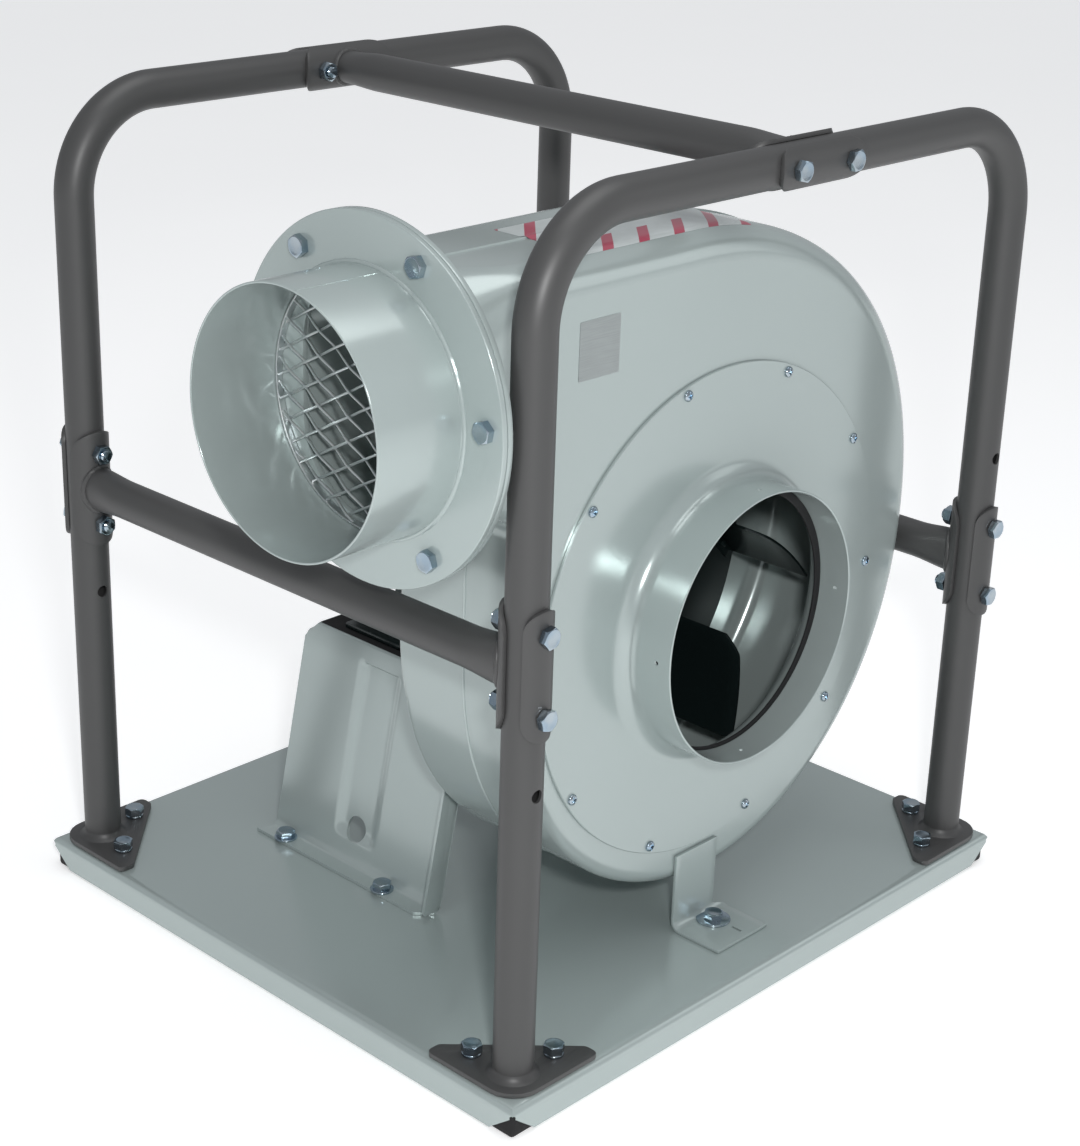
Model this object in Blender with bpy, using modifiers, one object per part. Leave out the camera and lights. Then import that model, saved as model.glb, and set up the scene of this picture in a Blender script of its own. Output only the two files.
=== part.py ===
"""Centrifugal fan with a pressed scroll casing, standing on a sheet tray between two tube hoops.

Blender script, metres, +Z up. The shaft lies along Y with the inlet towards -Y, and the outlet
points towards -X. Inside this file x and y are counted from the shaft and from the middle of the
tray; the empty fan_origin then moves everything so that the origin lies under the middle of the
whole fan, on the floor.
"""

import math

import bmesh
import bpy
from mathutils import Matrix, Vector

# Clearances: gap between faces that touch, overrun of a cut, depth that welded pieces share
FIT = 0.0003
OVERRUN = 0.003
WELD = 0.001
MERGE = 0.00001

# Facets of round pieces
TURN_STEPS = 24
HIDDEN_STEPS = 12
BARREL_STEPS = 32
TUBE_SIDES = 12
BORE_SIDES = 8
HOLE_SIDES = 8
BEND_STEPS = 6

# Base tray: a top sheet with four folded flanges whose ends are cut at 45 degrees
BASE_LENGTH = 0.552
BASE_WIDTH = 0.508
BASE_DEPTH = 0.0225
BASE_SHEET = 0.0025
BASE_BEND = 0.007
BASE_CORNER_CUT = 0.0155
BASE_RELIEF_RADIUS = 0.003
PAD_SIDE = 0.034
PAD_INSET = 0.008
PAD_PROUD = 0.0025
PAD_EDGE = 0.0015
BASE_TOP = PAD_PROUD + BASE_DEPTH

# Cage: two hoops of bent tube on welded foot plates
TUBE_RADIUS = 0.014
TUBE_WALL = 0.002
HOOP_SPAN = 0.495
HOOP_GAP = 0.452
HOOP_TOP = 0.6035
HOOP_BEND = 0.070
FOOT_PLATE = 0.005
FOOT_PLATE_EDGE = 0.025
FOOT_PLATE_LEG = 0.082
FOOT_PLATE_END = 0.0115
FOOT_PLATE_HEEL_RADIUS = 0.022
FOOT_PLATE_TOE_RADIUS = 0.008
FOOT_PLATE_TIP_RADIUS = 0.003
FOOT_HOLE_RADIUS = 0.0045
FOOT_HOLE_INNER = (0.0295, -0.0095)
FOOT_HOLE_OUTER = (-0.010, 0.029)
FOOT_WELD = 0.004

# M8 bolts
BOLT_RADIUS = 0.0039
BOLT_HOLE_RADIUS = 0.0045
BOLT_FLATS = 0.013
BOLT_HEAD = 0.0053
BOLT_NUT = 0.0065
BOLT_END = 0.003

# Crossbars between the hoops, welded into half-pipe saddles that bolt through the tubes
BOLT_PITCH = 0.055
LOW_BAR_HEIGHT = 0.2657
HIGH_BAR_HEIGHT = LOW_BAR_HEIGHT + BOLT_PITCH
BAR_FLARE = 0.032
BAR_END_HALF_WIDTH = 0.012
BAR_END_HALF_HEIGHT = 0.017
SADDLE_WALL = 0.003
SADDLE_LENGTH = 0.088
SADDLE_HALF_ANGLE = math.radians(75)
SADDLE_SHARES = (-1, -0.92, -0.8, -0.4, 0, 0.4, 0.8, 0.92, 1)

# Scroll casing: two pressed halves that meet at the middle of the scroll
SHAFT_HEIGHT = 0.274
CASING_FRONT = -0.176
CASING_BACK = -0.046
CASING_WALL = 0.002
EDGE_START_RADIUS = 0.008
EDGE_RADIUS = 0.022
MOUTH_EDGE_RADIUS = 0.060
EDGE_STEPS = 3
SCROLL_RADII = (0.187, 0.196, 0.206, 0.216, 0.230, 0.256, 0.277)
SCROLL_PITCH = math.pi / 4
SCROLL_STEPS = 24
NECK_HEIGHT = 0.163
NECK_FILLET = 0.025
NECK_FILLET_STEPS = 3
NECK_STEPS = 5
CASING_HUB_HOLE = 0.045
CASING_WHEEL_HOLE = 0.168
SEAM = (CASING_FRONT + CASING_BACK) / 2

# Outlet: spigot with a bolted flange, against a flange ring on the casing
FLANGE_REACH = 0.276
FLANGE_WALL = 0.004
FLANGE_RADIUS = 0.119
FLANGE_BOLT_CIRCLE = 0.105
FLANGE_BOLTS = 6
FLANGE_BOLT_ANGLE = math.radians(4)
FLANGE_NUT = 0.004
FLANGE_BOLT_END = 0.001
SPIGOT_REACH = 0.344
SPIGOT_RADIUS = 0.086
SPIGOT_WALL = 0.0015
SPIGOT_FILLET = 0.003
GUARD_PITCH = 0.0158
GUARD_WIRE = 0.0022
GUARD_RIM = 0.0022
GUARD_DEPTH = 0.0050
GUARD_TURN = math.radians(38)

# Inlet cover: a turned disc with a drawn spigot, and a black ring in its throat
COVER_RADIUS = 0.182
COVER_WALL = 0.002
INLET_RADIUS = 0.100
INLET_RIM = -0.2195
INLET_WALL = 0.0015
INLET_FILLET = 0.014
THROAT_RING_WALL = 0.0045
THROAT_RING_DEPTH = 0.006

# Impeller: back disc with straight blades that lean backwards
WHEEL_RADIUS = 0.162
WHEEL_FACE = -0.064
WHEEL_WALL = 0.002
BLADE_COUNT = 7
BLADE_OFFSET = 0.078
BLADE_INNER_RADIUS = 0.096
BLADE_WIDTH = 0.075
BLADE_WALL = 0.002
BLADE_CUT_LENGTH = 0.013
BLADE_CUT_WIDTH = 0.010
HUB_FLANGE_RADIUS = 0.036
HUB_FLANGE_WALL = 0.005
HUB_BARREL_RADIUS = 0.017
HUB_NOSE_RADIUS = 0.013
HUB_NOSE = 0.003
HUB_BOLT_RADIUS = 0.003
HUB_BOLT_DEPTH = 0.018
HUB_BOLT_FLATS = 0.010
HUB_BOLT_HEAD = 0.004
HUB_WASHER_RADIUS = 0.012
HUB_WASHER = 0.0025

# Motor on feet, shaft height 71
MOTOR_SHAFT_HEIGHT = 0.071
MOTOR_FRONT = -0.036
MOTOR_SHIELD_DEPTH = 0.020
MOTOR_BODY_LENGTH = 0.134
MOTOR_CORE_RADIUS = 0.0635
MOTOR_FIN_RADIUS = 0.0695
MOTOR_FINS = 24
MOTOR_BORE = 0.0605
FIN_ROOT_SHARE = 0.34
FIN_TIP_SHARE = 0.2
SHAFT_RADIUS = 0.007
SHAFT_SEAT_RADIUS = 0.0075
SHAFT_CORE_RADIUS = 0.010
BEARING_RADIUS = 0.0175
BEARING_WIDTH = 0.011
BEARING_GROOVE = 0.001
SHIELD_RIM = 0.008
SHIELD_WEB = 0.005
SHIELD_BOSS_RADIUS = 0.024
SHIELD_LIP = 0.005
SHIELD_RADIUS = 0.0665
STATOR_INNER_RADIUS = 0.037
STATOR_LENGTH = 0.074
ROTOR_AIR_GAP = 0.0006
FOOT_PAD_WIDTH = 0.034
FOOT_PAD_THICKNESS = 0.009
FOOT_PAD_LENGTH = 0.108
FOOT_PAD_HALF_SPAN = 0.070
FOOT_WEB_WIDTH = 0.014
COOLING_FAN_RADIUS = 0.056
COOLING_FAN_DISC = 0.002
COOLING_FAN_DEPTH = 0.014
COOLING_FAN_BLADES = 6
COOLING_FAN_HUB = 0.013
COWL_RADIUS = 0.0685
COWL_WALL = 0.0015
COWL_LENGTH = 0.056
COWL_EDGE = 0.006
COWL_SLOT = 0.005
COWL_SLOT_PITCH = 0.013
COWL_SLOT_RINGS = 3
COWL_SLOT_STEPS = 3
COWL_SPOKES = 4
COWL_EYE = 0.014
COWL_SPOKE_WIDTH = 0.006
BOX_LENGTH = 0.090
BOX_WIDTH = 0.084
BOX_HEIGHT = 0.040
BOX_WALL = 0.003
BOX_EDGE = 0.004
BOX_LID = 0.008
BOX_PAD_RISE = 0.004
BOX_PAD_LENGTH = 0.070
BOX_PAD_WIDTH = 0.060
GLAND_RADIUS = 0.012
GLAND_BORE = 0.005
GLAND_LENGTH = 0.026

# Pedestal: folded sheet with sloping sides, and the plate that carries the motor
PEDESTAL_SHEET = 0.0025
PEDESTAL_TOP_HALF = 0.104
PEDESTAL_BASE_HALF = 0.139
PEDESTAL_FLANGE = 0.0166
PEDESTAL_REAR = 0.139
PEDESTAL_FLANGE_REAR = 0.146
PEDESTAL_REAR_CUT = 0.030
PEDESTAL_FRONT_FLANGE = 0.017
PEDESTAL_FRONT_FLANGE_DROP = 0.012
PEDESTAL_CORNER_CUT = 0.011
PEDESTAL_CAP = 0.012
PEDESTAL_CAP_LAP = 0.0015
CHANNEL_FRONT = 0.032
CHANNEL_REAR = 0.071
CHANNEL_FOOT = 0.045
CHANNEL_SLOPE = 0.006
CHANNEL_DEPTH = 0.003
PEDESTAL_HOLE_RADIUS = 0.010
PEDESTAL_HOLE_BACK = 0.053
PEDESTAL_HOLE_HEIGHT = 0.0535
MOTOR_PLATE = 0.0045
MOTOR_PLATE_HALF = 0.097
MOTOR_PLATE_FRONT = -0.030

# Bracket that ties the casing's front to the tray
BRACKET_SHEET = 0.0025
BRACKET_LEFT = -0.0315
BRACKET_RIGHT = 0.024
BRACKET_TAB_LEFT = -0.024
BRACKET_TAB_RIGHT = 0.014
BRACKET_FOOT = 0.046
BRACKET_BEND = 0.004
BRACKET_SHOULDER = 0.014
BRACKET_LAP = 0.003

# Places that follow from the sizes above
ORIGIN_SHIFT = (SPIGOT_REACH - BASE_LENGTH / 2) / 2
HOOP_HALF_SPAN = HOOP_SPAN / 2
HOOP_HALF_GAP = HOOP_GAP / 2
SADDLE_RADIUS = TUBE_RADIUS + FIT
SADDLE_SEAT = SADDLE_RADIUS + SADDLE_WALL + FIT
BAR_GRIP = 2 * SADDLE_SEAT
MOUTH_REACH = FLANGE_REACH - 2 * (FLANGE_WALL + FIT)
MOTOR_FOOT_LEVEL = SHAFT_HEIGHT - MOTOR_SHAFT_HEIGHT
MOTOR_PLATE_TOP = MOTOR_FOOT_LEVEL - FIT
PEDESTAL_TOP = MOTOR_PLATE_TOP - MOTOR_PLATE - FIT
PEDESTAL_FLANGE_TOP = BASE_TOP + FIT + PEDESTAL_SHEET
PEDESTAL_FRONT = CASING_BACK + FIT
BODY_FRONT = MOTOR_FRONT + MOTOR_SHIELD_DEPTH
BODY_REAR = BODY_FRONT + MOTOR_BODY_LENGTH
HUB_FACE = WHEEL_FACE + WHEEL_WALL + FIT
SHAFT_TIP = WHEEL_FACE - HUB_NOSE + FIT


SCROLL_RADIUS = SCROLL_RADII[0]


def scroll_radius(angle):
    """Radius of the scroll, on a smooth curve through its radii from the left wall to the top."""
    place_on_scroll = (angle + math.pi) / SCROLL_PITCH
    index = min(int(place_on_scroll), len(SCROLL_RADII) - 2)
    share = place_on_scroll - index
    here, there = SCROLL_RADII[index], SCROLL_RADII[index + 1]
    before = SCROLL_RADII[abs(index - 1)]
    after = SCROLL_RADII[index + 2] if index + 2 < len(SCROLL_RADII) else 2 * there - here
    rise_here, rise_there = (there - before) / 2, (after - here) / 2
    bend = 2 * (here - there) + rise_here + rise_there
    lean = 3 * (there - here) - 2 * rise_here - rise_there
    return here + share * (rise_here + share * (lean + share * bend))


# The scroll ends where it runs level with the top of the neck
GROWTH_AT_TOP = (SCROLL_RADII[-1] - SCROLL_RADII[-2]) / SCROLL_PITCH
SCROLL_END = math.pi / 2 + math.atan(GROWTH_AT_TOP / SCROLL_RADII[-1])
NECK_TOP = scroll_radius(SCROLL_END) * math.sin(SCROLL_END)
NECK_BOTTOM = NECK_TOP - NECK_HEIGHT
OUTLET_HEIGHT = SHAFT_HEIGHT + (NECK_TOP + NECK_BOTTOM) / 2


def clear_scene():
    """Remove whatever the file holds."""
    for item in list(bpy.data.objects):
        bpy.data.objects.remove(item, do_unlink=True)


def new_collection(name):
    """Make a collection in the scene."""
    collection = bpy.data.collections.new(name)
    bpy.context.scene.collection.children.link(collection)
    return collection


def new_empty(name, location, parent=None):
    """Make an empty that carries pieces."""
    empty = bpy.data.objects.new(name, None)
    empty.location = location
    empty.parent = parent
    PARTS.objects.link(empty)
    return empty


def new_material(name, colour, roughness, metallic):
    """Make a plain material with one colour."""
    material = bpy.data.materials.new(name)
    material.use_nodes = True
    shader = material.node_tree.nodes["Principled BSDF"]
    shader.inputs["Base Color"].default_value = (*colour, 1)
    shader.inputs["Roughness"].default_value = roughness
    shader.inputs["Metallic"].default_value = metallic
    material.diffuse_color = (*colour, 1)
    return material


def place(item, location=(0, 0, 0), rotation=(0, 0, 0), parent=None):
    """Give a piece its place under the fan's origin or another parent."""
    item.parent = parent or ORIGIN
    item.location = location
    item.rotation_euler = rotation
    return item


def finish(item, material):
    """Dress a piece and put it among the parts."""
    item.data.materials.clear()
    item.data.materials.append(material)
    PARTS.objects.link(item)
    return item


def hide_tool(item):
    """Put a shape that only cuts or joins among the cutters."""
    item.hide_render = True
    item.display_type = "WIRE"
    CUTTERS.objects.link(item)
    return item


def from_bmesh(name, shape, smooth=True):
    """Turn a bmesh into an object with its faces pointing out."""
    bmesh.ops.recalc_face_normals(shape, faces=shape.faces)
    mesh = bpy.data.meshes.new(name)
    shape.to_mesh(mesh)
    shape.free()
    if smooth:
        mesh.shade_smooth()
        mesh.set_sharp_from_angle(angle=math.radians(35))
    return bpy.data.objects.new(name, mesh)


def loft(name, bodies):
    """Skin one or more rows of rings that have as many points each, with flat ends."""
    shape = bmesh.new()
    for rings in bodies:
        rows = [[shape.verts.new(point) for point in ring] for ring in rings]
        for lower, upper in zip(rows, rows[1:]):
            for index in range(len(lower)):
                after = (index + 1) % len(lower)
                shape.faces.new((lower[index], lower[after], upper[after], upper[index]))
        shape.faces.new(rows[0])
        shape.faces.new(rows[-1])
    return from_bmesh(name, shape)


def turned(name, profile, steps=TURN_STEPS, closed=True):
    """Turn a profile of (radius, distance along Y) pairs about the local Y axis."""
    loop = list(profile)
    area = sum(a[0] * b[1] - b[0] * a[1] for a, b in zip(loop, loop[1:] + loop[:1]))
    if area > 0:
        loop.reverse()
    mesh = bpy.data.meshes.new(name)
    edges = [(index, index + 1) for index in range(len(loop) - 1)]
    if closed:
        edges.append((len(loop) - 1, 0))
    mesh.from_pydata([(radius, along, 0) for radius, along in loop], edges, [])
    item = bpy.data.objects.new(name, mesh)
    screw = item.modifiers.new("turn", "SCREW")
    screw.axis = "Y"
    screw.steps = steps
    screw.render_steps = steps
    screw.use_merge_vertices = True
    screw.merge_threshold = MERGE
    screw.use_smooth_shade = False
    return item


def bake(item):
    """Replace an object by a welded mesh of its evaluated shape."""
    holder = bpy.context.scene.collection
    if not item.users_collection:
        holder.objects.link(item)
    bpy.context.view_layer.update()
    evaluated = item.evaluated_get(bpy.context.evaluated_depsgraph_get())
    mesh = bpy.data.meshes.new_from_object(evaluated)
    shape = bmesh.new()
    shape.from_mesh(mesh)
    bmesh.ops.remove_doubles(shape, verts=shape.verts, dist=MERGE)
    name = item.name
    matrix = item.matrix_world.copy()
    bpy.data.objects.remove(item, do_unlink=True)
    baked = from_bmesh(name, shape)
    baked.name = name
    baked.matrix_world = matrix
    return baked


def tube(name, points, radius, sides):
    """Sweep a round bar along a path."""
    curve = bpy.data.curves.new(name, "CURVE")
    curve.dimensions = "3D"
    curve.bevel_depth = radius
    curve.bevel_resolution = sides // 2 - 2
    curve.use_fill_caps = True
    curve.render_resolution_u = 0
    spline = curve.splines.new("POLY")
    spline.points.add(len(points) - 1)
    for target, point in zip(spline.points, points):
        target.co = (*point, 1)
    return bake(bpy.data.objects.new(name, curve))


def plate(name, outlines, thickness):
    """Cut a flat sheet in local XY, centred on its plane; outlines after the first are holes."""
    curve = bpy.data.curves.new(name, "CURVE")
    curve.dimensions = "2D"
    curve.fill_mode = "BOTH"
    curve.extrude = thickness / 2
    curve.render_resolution_u = 0
    for outline in outlines:
        spline = curve.splines.new("POLY")
        spline.points.add(len(outline) - 1)
        for target, point in zip(spline.points, outline):
            target.co = (*point, 0, 1)
        spline.use_cyclic_u = True
    return bake(bpy.data.objects.new(name, curve))


def cylinders(name, rods, radius, sides=HOLE_SIDES):
    """Make one tool of round rods, each given by its middle, its direction and its length."""
    shape = bmesh.new()
    for middle, direction, length in rods:
        turn = Vector((0, 0, 1)).rotation_difference(Vector(direction)).to_matrix().to_4x4()
        bmesh.ops.create_cone(shape, cap_ends=True, segments=sides, radius1=radius, radius2=radius,
                              depth=length, matrix=Matrix.Translation(middle) @ turn)
    return from_bmesh(name, shape)


def box(name, low, high):
    """Make a box between two corners."""
    shape = bmesh.new()
    bmesh.ops.create_cube(shape, size=1)
    middle = (Vector(low) + Vector(high)) / 2
    size = Vector(high) - Vector(low)
    for vertex in shape.verts:
        vertex.co = middle + Vector(side * length for side, length in zip(vertex.co, size))
    return from_bmesh(name, shape, smooth=False)


def round_edges(item, width, segments=2):
    """Round all of a piece's sharp edges."""
    bevel = item.modifiers.new("edges", "BEVEL")
    bevel.width = width
    bevel.segments = segments
    bevel.limit_method = "ANGLE"
    return item


def combine(item, tool, operation):
    """Cut a piece with a tool, or join the tool to it."""
    if not tool.users_collection:
        hide_tool(tool)
    boolean = item.modifiers.new(tool.name, "BOOLEAN")
    boolean.operation = operation
    boolean.object = tool
    boolean.solver = "EXACT"
    return item


def circle(radius, count, centre=(0, 0), start=0):
    """Points of a circle as (x, y) pairs."""
    steps = (start + 2 * math.pi * index / count for index in range(count))
    return [(centre[0] + radius * math.cos(a), centre[1] + radius * math.sin(a)) for a in steps]


def arc(centre, radius, start, end, steps):
    """Points along an arc as (x, y) pairs, both ends included."""
    angles = (start + (end - start) * index / steps for index in range(steps + 1))
    return [(centre[0] + radius * math.cos(a), centre[1] + radius * math.sin(a)) for a in angles]


def rounded(corners, steps=3):
    """Round a polygon's corners, each given as (x, y, radius)."""
    points = []
    for index, (x, y, radius) in enumerate(corners):
        here = Vector((x, y))
        before = (Vector(corners[index - 1][:2]) - here).normalized()
        after = (Vector(corners[(index + 1) % len(corners)][:2]) - here).normalized()
        half = before.angle(after) / 2
        middle = here + (before + after).normalized() * (radius / math.sin(half))
        first = here + before * (radius / math.tan(half)) - middle
        last = here + after * (radius / math.tan(half)) - middle
        sweep = first.angle_signed(last)
        for step in range(steps + 1):
            turn = Matrix.Rotation(-sweep * step / steps, 2)
            points.append(tuple(middle + turn @ first))
    return points


def offset_line(points, distance):
    """Shift an open line of (x, y) pairs to its right-hand side, with mitred corners."""
    line = [Vector(point) for point in points]
    shifted = []
    for index, point in enumerate(line):
        spans = [b - a for a, b in zip(line[max(index - 1, 0):], line[max(index - 1, 0) + 1:index + 2])]
        normals = [Vector((span.y, -span.x)).normalized() for span in spans]
        middle = sum(normals, Vector((0, 0))).normalized()
        shifted.append(tuple(point + middle * (distance / middle.dot(normals[0]))))
    return shifted


def build_base():
    """Tray with folded flanges, and the rubber pads under its corners."""
    half = Vector((BASE_LENGTH / 2, BASE_WIDTH / 2, 0))
    walls = []
    for name, shrink, drop in (("base_tray", 0, 0), ("base_inside", BASE_SHEET, OVERRUN)):
        shape = bmesh.new()
        bmesh.ops.create_cube(shape, size=1)
        low = Vector((shrink - half.x, shrink - half.y, PAD_PROUD - drop))
        high = Vector((half.x - shrink, half.y - shrink, BASE_TOP - shrink))
        for vertex in shape.verts:
            share = vertex.co + Vector((1, 1, 1)) / 2
            vertex.co = low + Vector(s * (b - a) for s, a, b in zip(share, low, high))
        top = [edge for edge in shape.edges if all(v.co.z > BASE_TOP - BASE_BEND for v in edge.verts)]
        bmesh.ops.bevel(shape, geom=top, offset=BASE_BEND - shrink, segments=3, profile=0.5,
                        affect="EDGES")
        walls.append(from_bmesh(name, shape))
    tray, inside = walls
    place(finish(tray, PAINT_GREY))
    combine(tray, place(inside), "DIFFERENCE")
    notches = bmesh.new()
    reliefs = []
    for side_x in (-1, 1):
        for side_y in (-1, 1):
            corner = Vector((side_x * half.x, side_y * half.y, 0))
            depth = BASE_CORNER_CUT + OVERRUN
            apex = PAD_PROUD + BASE_CORNER_CUT
            middle = corner + Vector((0, 0, apex - depth / 2))
            bmesh.ops.create_cone(notches, cap_ends=True, segments=4, radius1=depth, radius2=0,
                                  depth=depth, matrix=Matrix.Translation(middle))
            at = corner + Vector((0, 0, apex))
            reliefs.append((at, (side_x, side_y, 0), 4 * BASE_BEND))
    combine(tray, place(from_bmesh("base_corner_notches", notches, smooth=False)), "DIFFERENCE")
    combine(tray, place(cylinders("base_reliefs", reliefs, BASE_RELIEF_RADIUS)), "DIFFERENCE")
    number = 1
    for side_x in (-1, 1):
        for side_y in (-1, 1):
            outer = Vector((side_x * (half.x - PAD_INSET), side_y * (half.y - PAD_INSET), 0))
            inner = outer - Vector((side_x * PAD_SIDE, side_y * PAD_SIDE, 0))
            top = Vector((0, 0, BASE_TOP - BASE_SHEET - FIT))
            low = Vector((min(outer.x, inner.x), min(outer.y, inner.y), 0))
            high = Vector((max(outer.x, inner.x), max(outer.y, inner.y), 0)) + top
            pad = box(f"rubber_foot_{number}", low, high)
            place(finish(round_edges(pad, PAD_EDGE, 1), RUBBER))
            number += 1


def hoop_path():
    """Centre line of a hoop in its own plane, as (x, z) pairs from foot to foot."""
    reach = HOOP_HALF_SPAN - HOOP_BEND
    height = HOOP_TOP - HOOP_BEND
    left = arc((-reach, height), HOOP_BEND, math.pi, math.pi / 2, BEND_STEPS)
    right = arc((reach, height), HOOP_BEND, math.pi / 2, 0, BEND_STEPS)
    return [(-HOOP_HALF_SPAN, BASE_TOP + FIT + FOOT_PLATE / 2), *left, *right,
            (HOOP_HALF_SPAN, BASE_TOP + FIT + FOOT_PLATE / 2)]


def build_hoop(name, side):
    """Tube hoop with its two foot plates welded on; side is -1 at the front and 1 at the rear."""
    plane = side * HOOP_HALF_GAP
    path = hoop_path()
    hoop = tube(name, [(x, plane, z) for x, z in path], TUBE_RADIUS, TUBE_SIDES)
    place(finish(hoop, PAINT_DARK))
    heel = -FOOT_PLATE_EDGE
    toe = heel + FOOT_PLATE_LEG
    tip = heel + FOOT_PLATE_END
    corners = ((heel, heel, FOOT_PLATE_HEEL_RADIUS), (toe, heel, FOOT_PLATE_TOE_RADIUS),
               (toe, tip, FOOT_PLATE_TIP_RADIUS), (tip, toe, FOOT_PLATE_TIP_RADIUS),
               (heel, toe, FOOT_PLATE_TOE_RADIUS))
    outline = rounded(corners)
    holes = [circle(FOOT_HOLE_RADIUS, HOLE_SIDES, centre)
             for centre in (FOOT_HOLE_INNER, FOOT_HOLE_OUTER)]
    for end in (-1, 1):
        flip_x = -end
        flip_y = -side
        lines = [[(flip_x * x, flip_y * y) for x, y in line] for line in (outline, *holes)]
        foot = plate(f"{name}_foot_{end}", lines, FOOT_PLATE)
        level = BASE_TOP + FIT + FOOT_PLATE / 2
        place(foot, (end * HOOP_HALF_SPAN, plane, level))
        combine(hoop, foot, "UNION")
        shape = bmesh.new()
        bmesh.ops.create_cone(shape, cap_ends=True, segments=TUBE_SIDES,
                              radius1=TUBE_RADIUS + FOOT_WELD, radius2=TUBE_RADIUS - WELD,
                              depth=FOOT_WELD + 2 * WELD)
        weld = from_bmesh(f"{name}_weld_{end}", shape)
        place(weld, (end * HOOP_HALF_SPAN, plane, level + (FOOT_PLATE + FOOT_WELD) / 2))
        combine(hoop, weld, "UNION")
    floor = BASE_TOP + FOOT_PLATE + 2 * WELD
    hollow = [(x, plane, max(z, floor)) for x, z in path]
    bore = tube(f"{name}_bore", hollow, TUBE_RADIUS - TUBE_WALL, BORE_SIDES)
    combine(hoop, place(bore), "DIFFERENCE")
    drill = 2 * (TUBE_RADIUS + OVERRUN)
    levels = [LOW_BAR_HEIGHT + BOLT_PITCH * step / 2 for step in (-1, 1, 3)]
    rods = [((end * HOOP_HALF_SPAN, plane, level), (0, 1, 0), drill)
            for end in (-1, 1) for level in levels]
    rods += [((end * BOLT_PITCH / 2, plane, HOOP_TOP), (0, 1, 0), drill) for end in (-1, 1)]
    combine(hoop, place(cylinders(f"{name}_holes", rods, BOLT_HOLE_RADIUS)), "DIFFERENCE")


def half_pipe(inner, outer):
    """Rings of a half-pipe plate with rounded ends, along Z and bulging towards -Y."""
    half_width = inner * SADDLE_HALF_ANGLE
    straight = SADDLE_LENGTH / 2 - half_width
    rings = []
    for share in SADDLE_SHARES:
        angle = SADDLE_HALF_ANGLE * share
        across = half_width * share
        reach = straight + math.sqrt(max(half_width**2 - across**2, 0))
        way = Vector((math.sin(angle), -math.cos(angle), 0))
        up = Vector((0, 0, reach))
        rings.append([way * inner - up, way * inner + up, way * outer + up, way * outer - up])
    return rings


def saddle_matrix(middle, faces_back, level):
    """Place for a half-pipe: its middle, the side it bulges to, and whether it lies level."""
    turn = Matrix.Rotation(math.pi if faces_back else 0, 4, "Z")
    tilt = Matrix.Rotation(math.pi / 2 if level else 0, 4, "Y")
    return Matrix.Translation(middle) @ turn @ tilt


def bolt_places(middle, level):
    """The two bolts of a saddle, either side of its middle."""
    way = Vector((1, 0, 0)) if level else Vector((0, 0, 1))
    return [Vector(middle) + way * BOLT_PITCH * share for share in (-1 / 2, 1 / 2)]


def bolt_rings(grip, nut, end):
    """Rings of a bolt along Y: head below zero, grip, nut and thread end."""
    def ring(radius, along):
        return [(x, along, z) for x, z in circle(radius, 6)]

    corner = BOLT_FLATS / math.sqrt(3)
    return [ring(corner, -BOLT_HEAD), ring(corner, 0), ring(BOLT_RADIUS, 0), ring(BOLT_RADIUS, grip),
            ring(corner, grip), ring(corner, grip + nut), ring(BOLT_RADIUS, grip + nut),
            ring(BOLT_RADIUS, grip + nut + end)]


def add_bolt(name, seat, turn, grip, nut=BOLT_NUT, end=BOLT_END):
    """M8 bolt with its nut, its head's seat at a place, turned about Z."""
    rings = bolt_rings(grip, nut, end)
    place(finish(loft(name, [rings]), ZINC), seat, (0, 0, turn))


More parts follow.
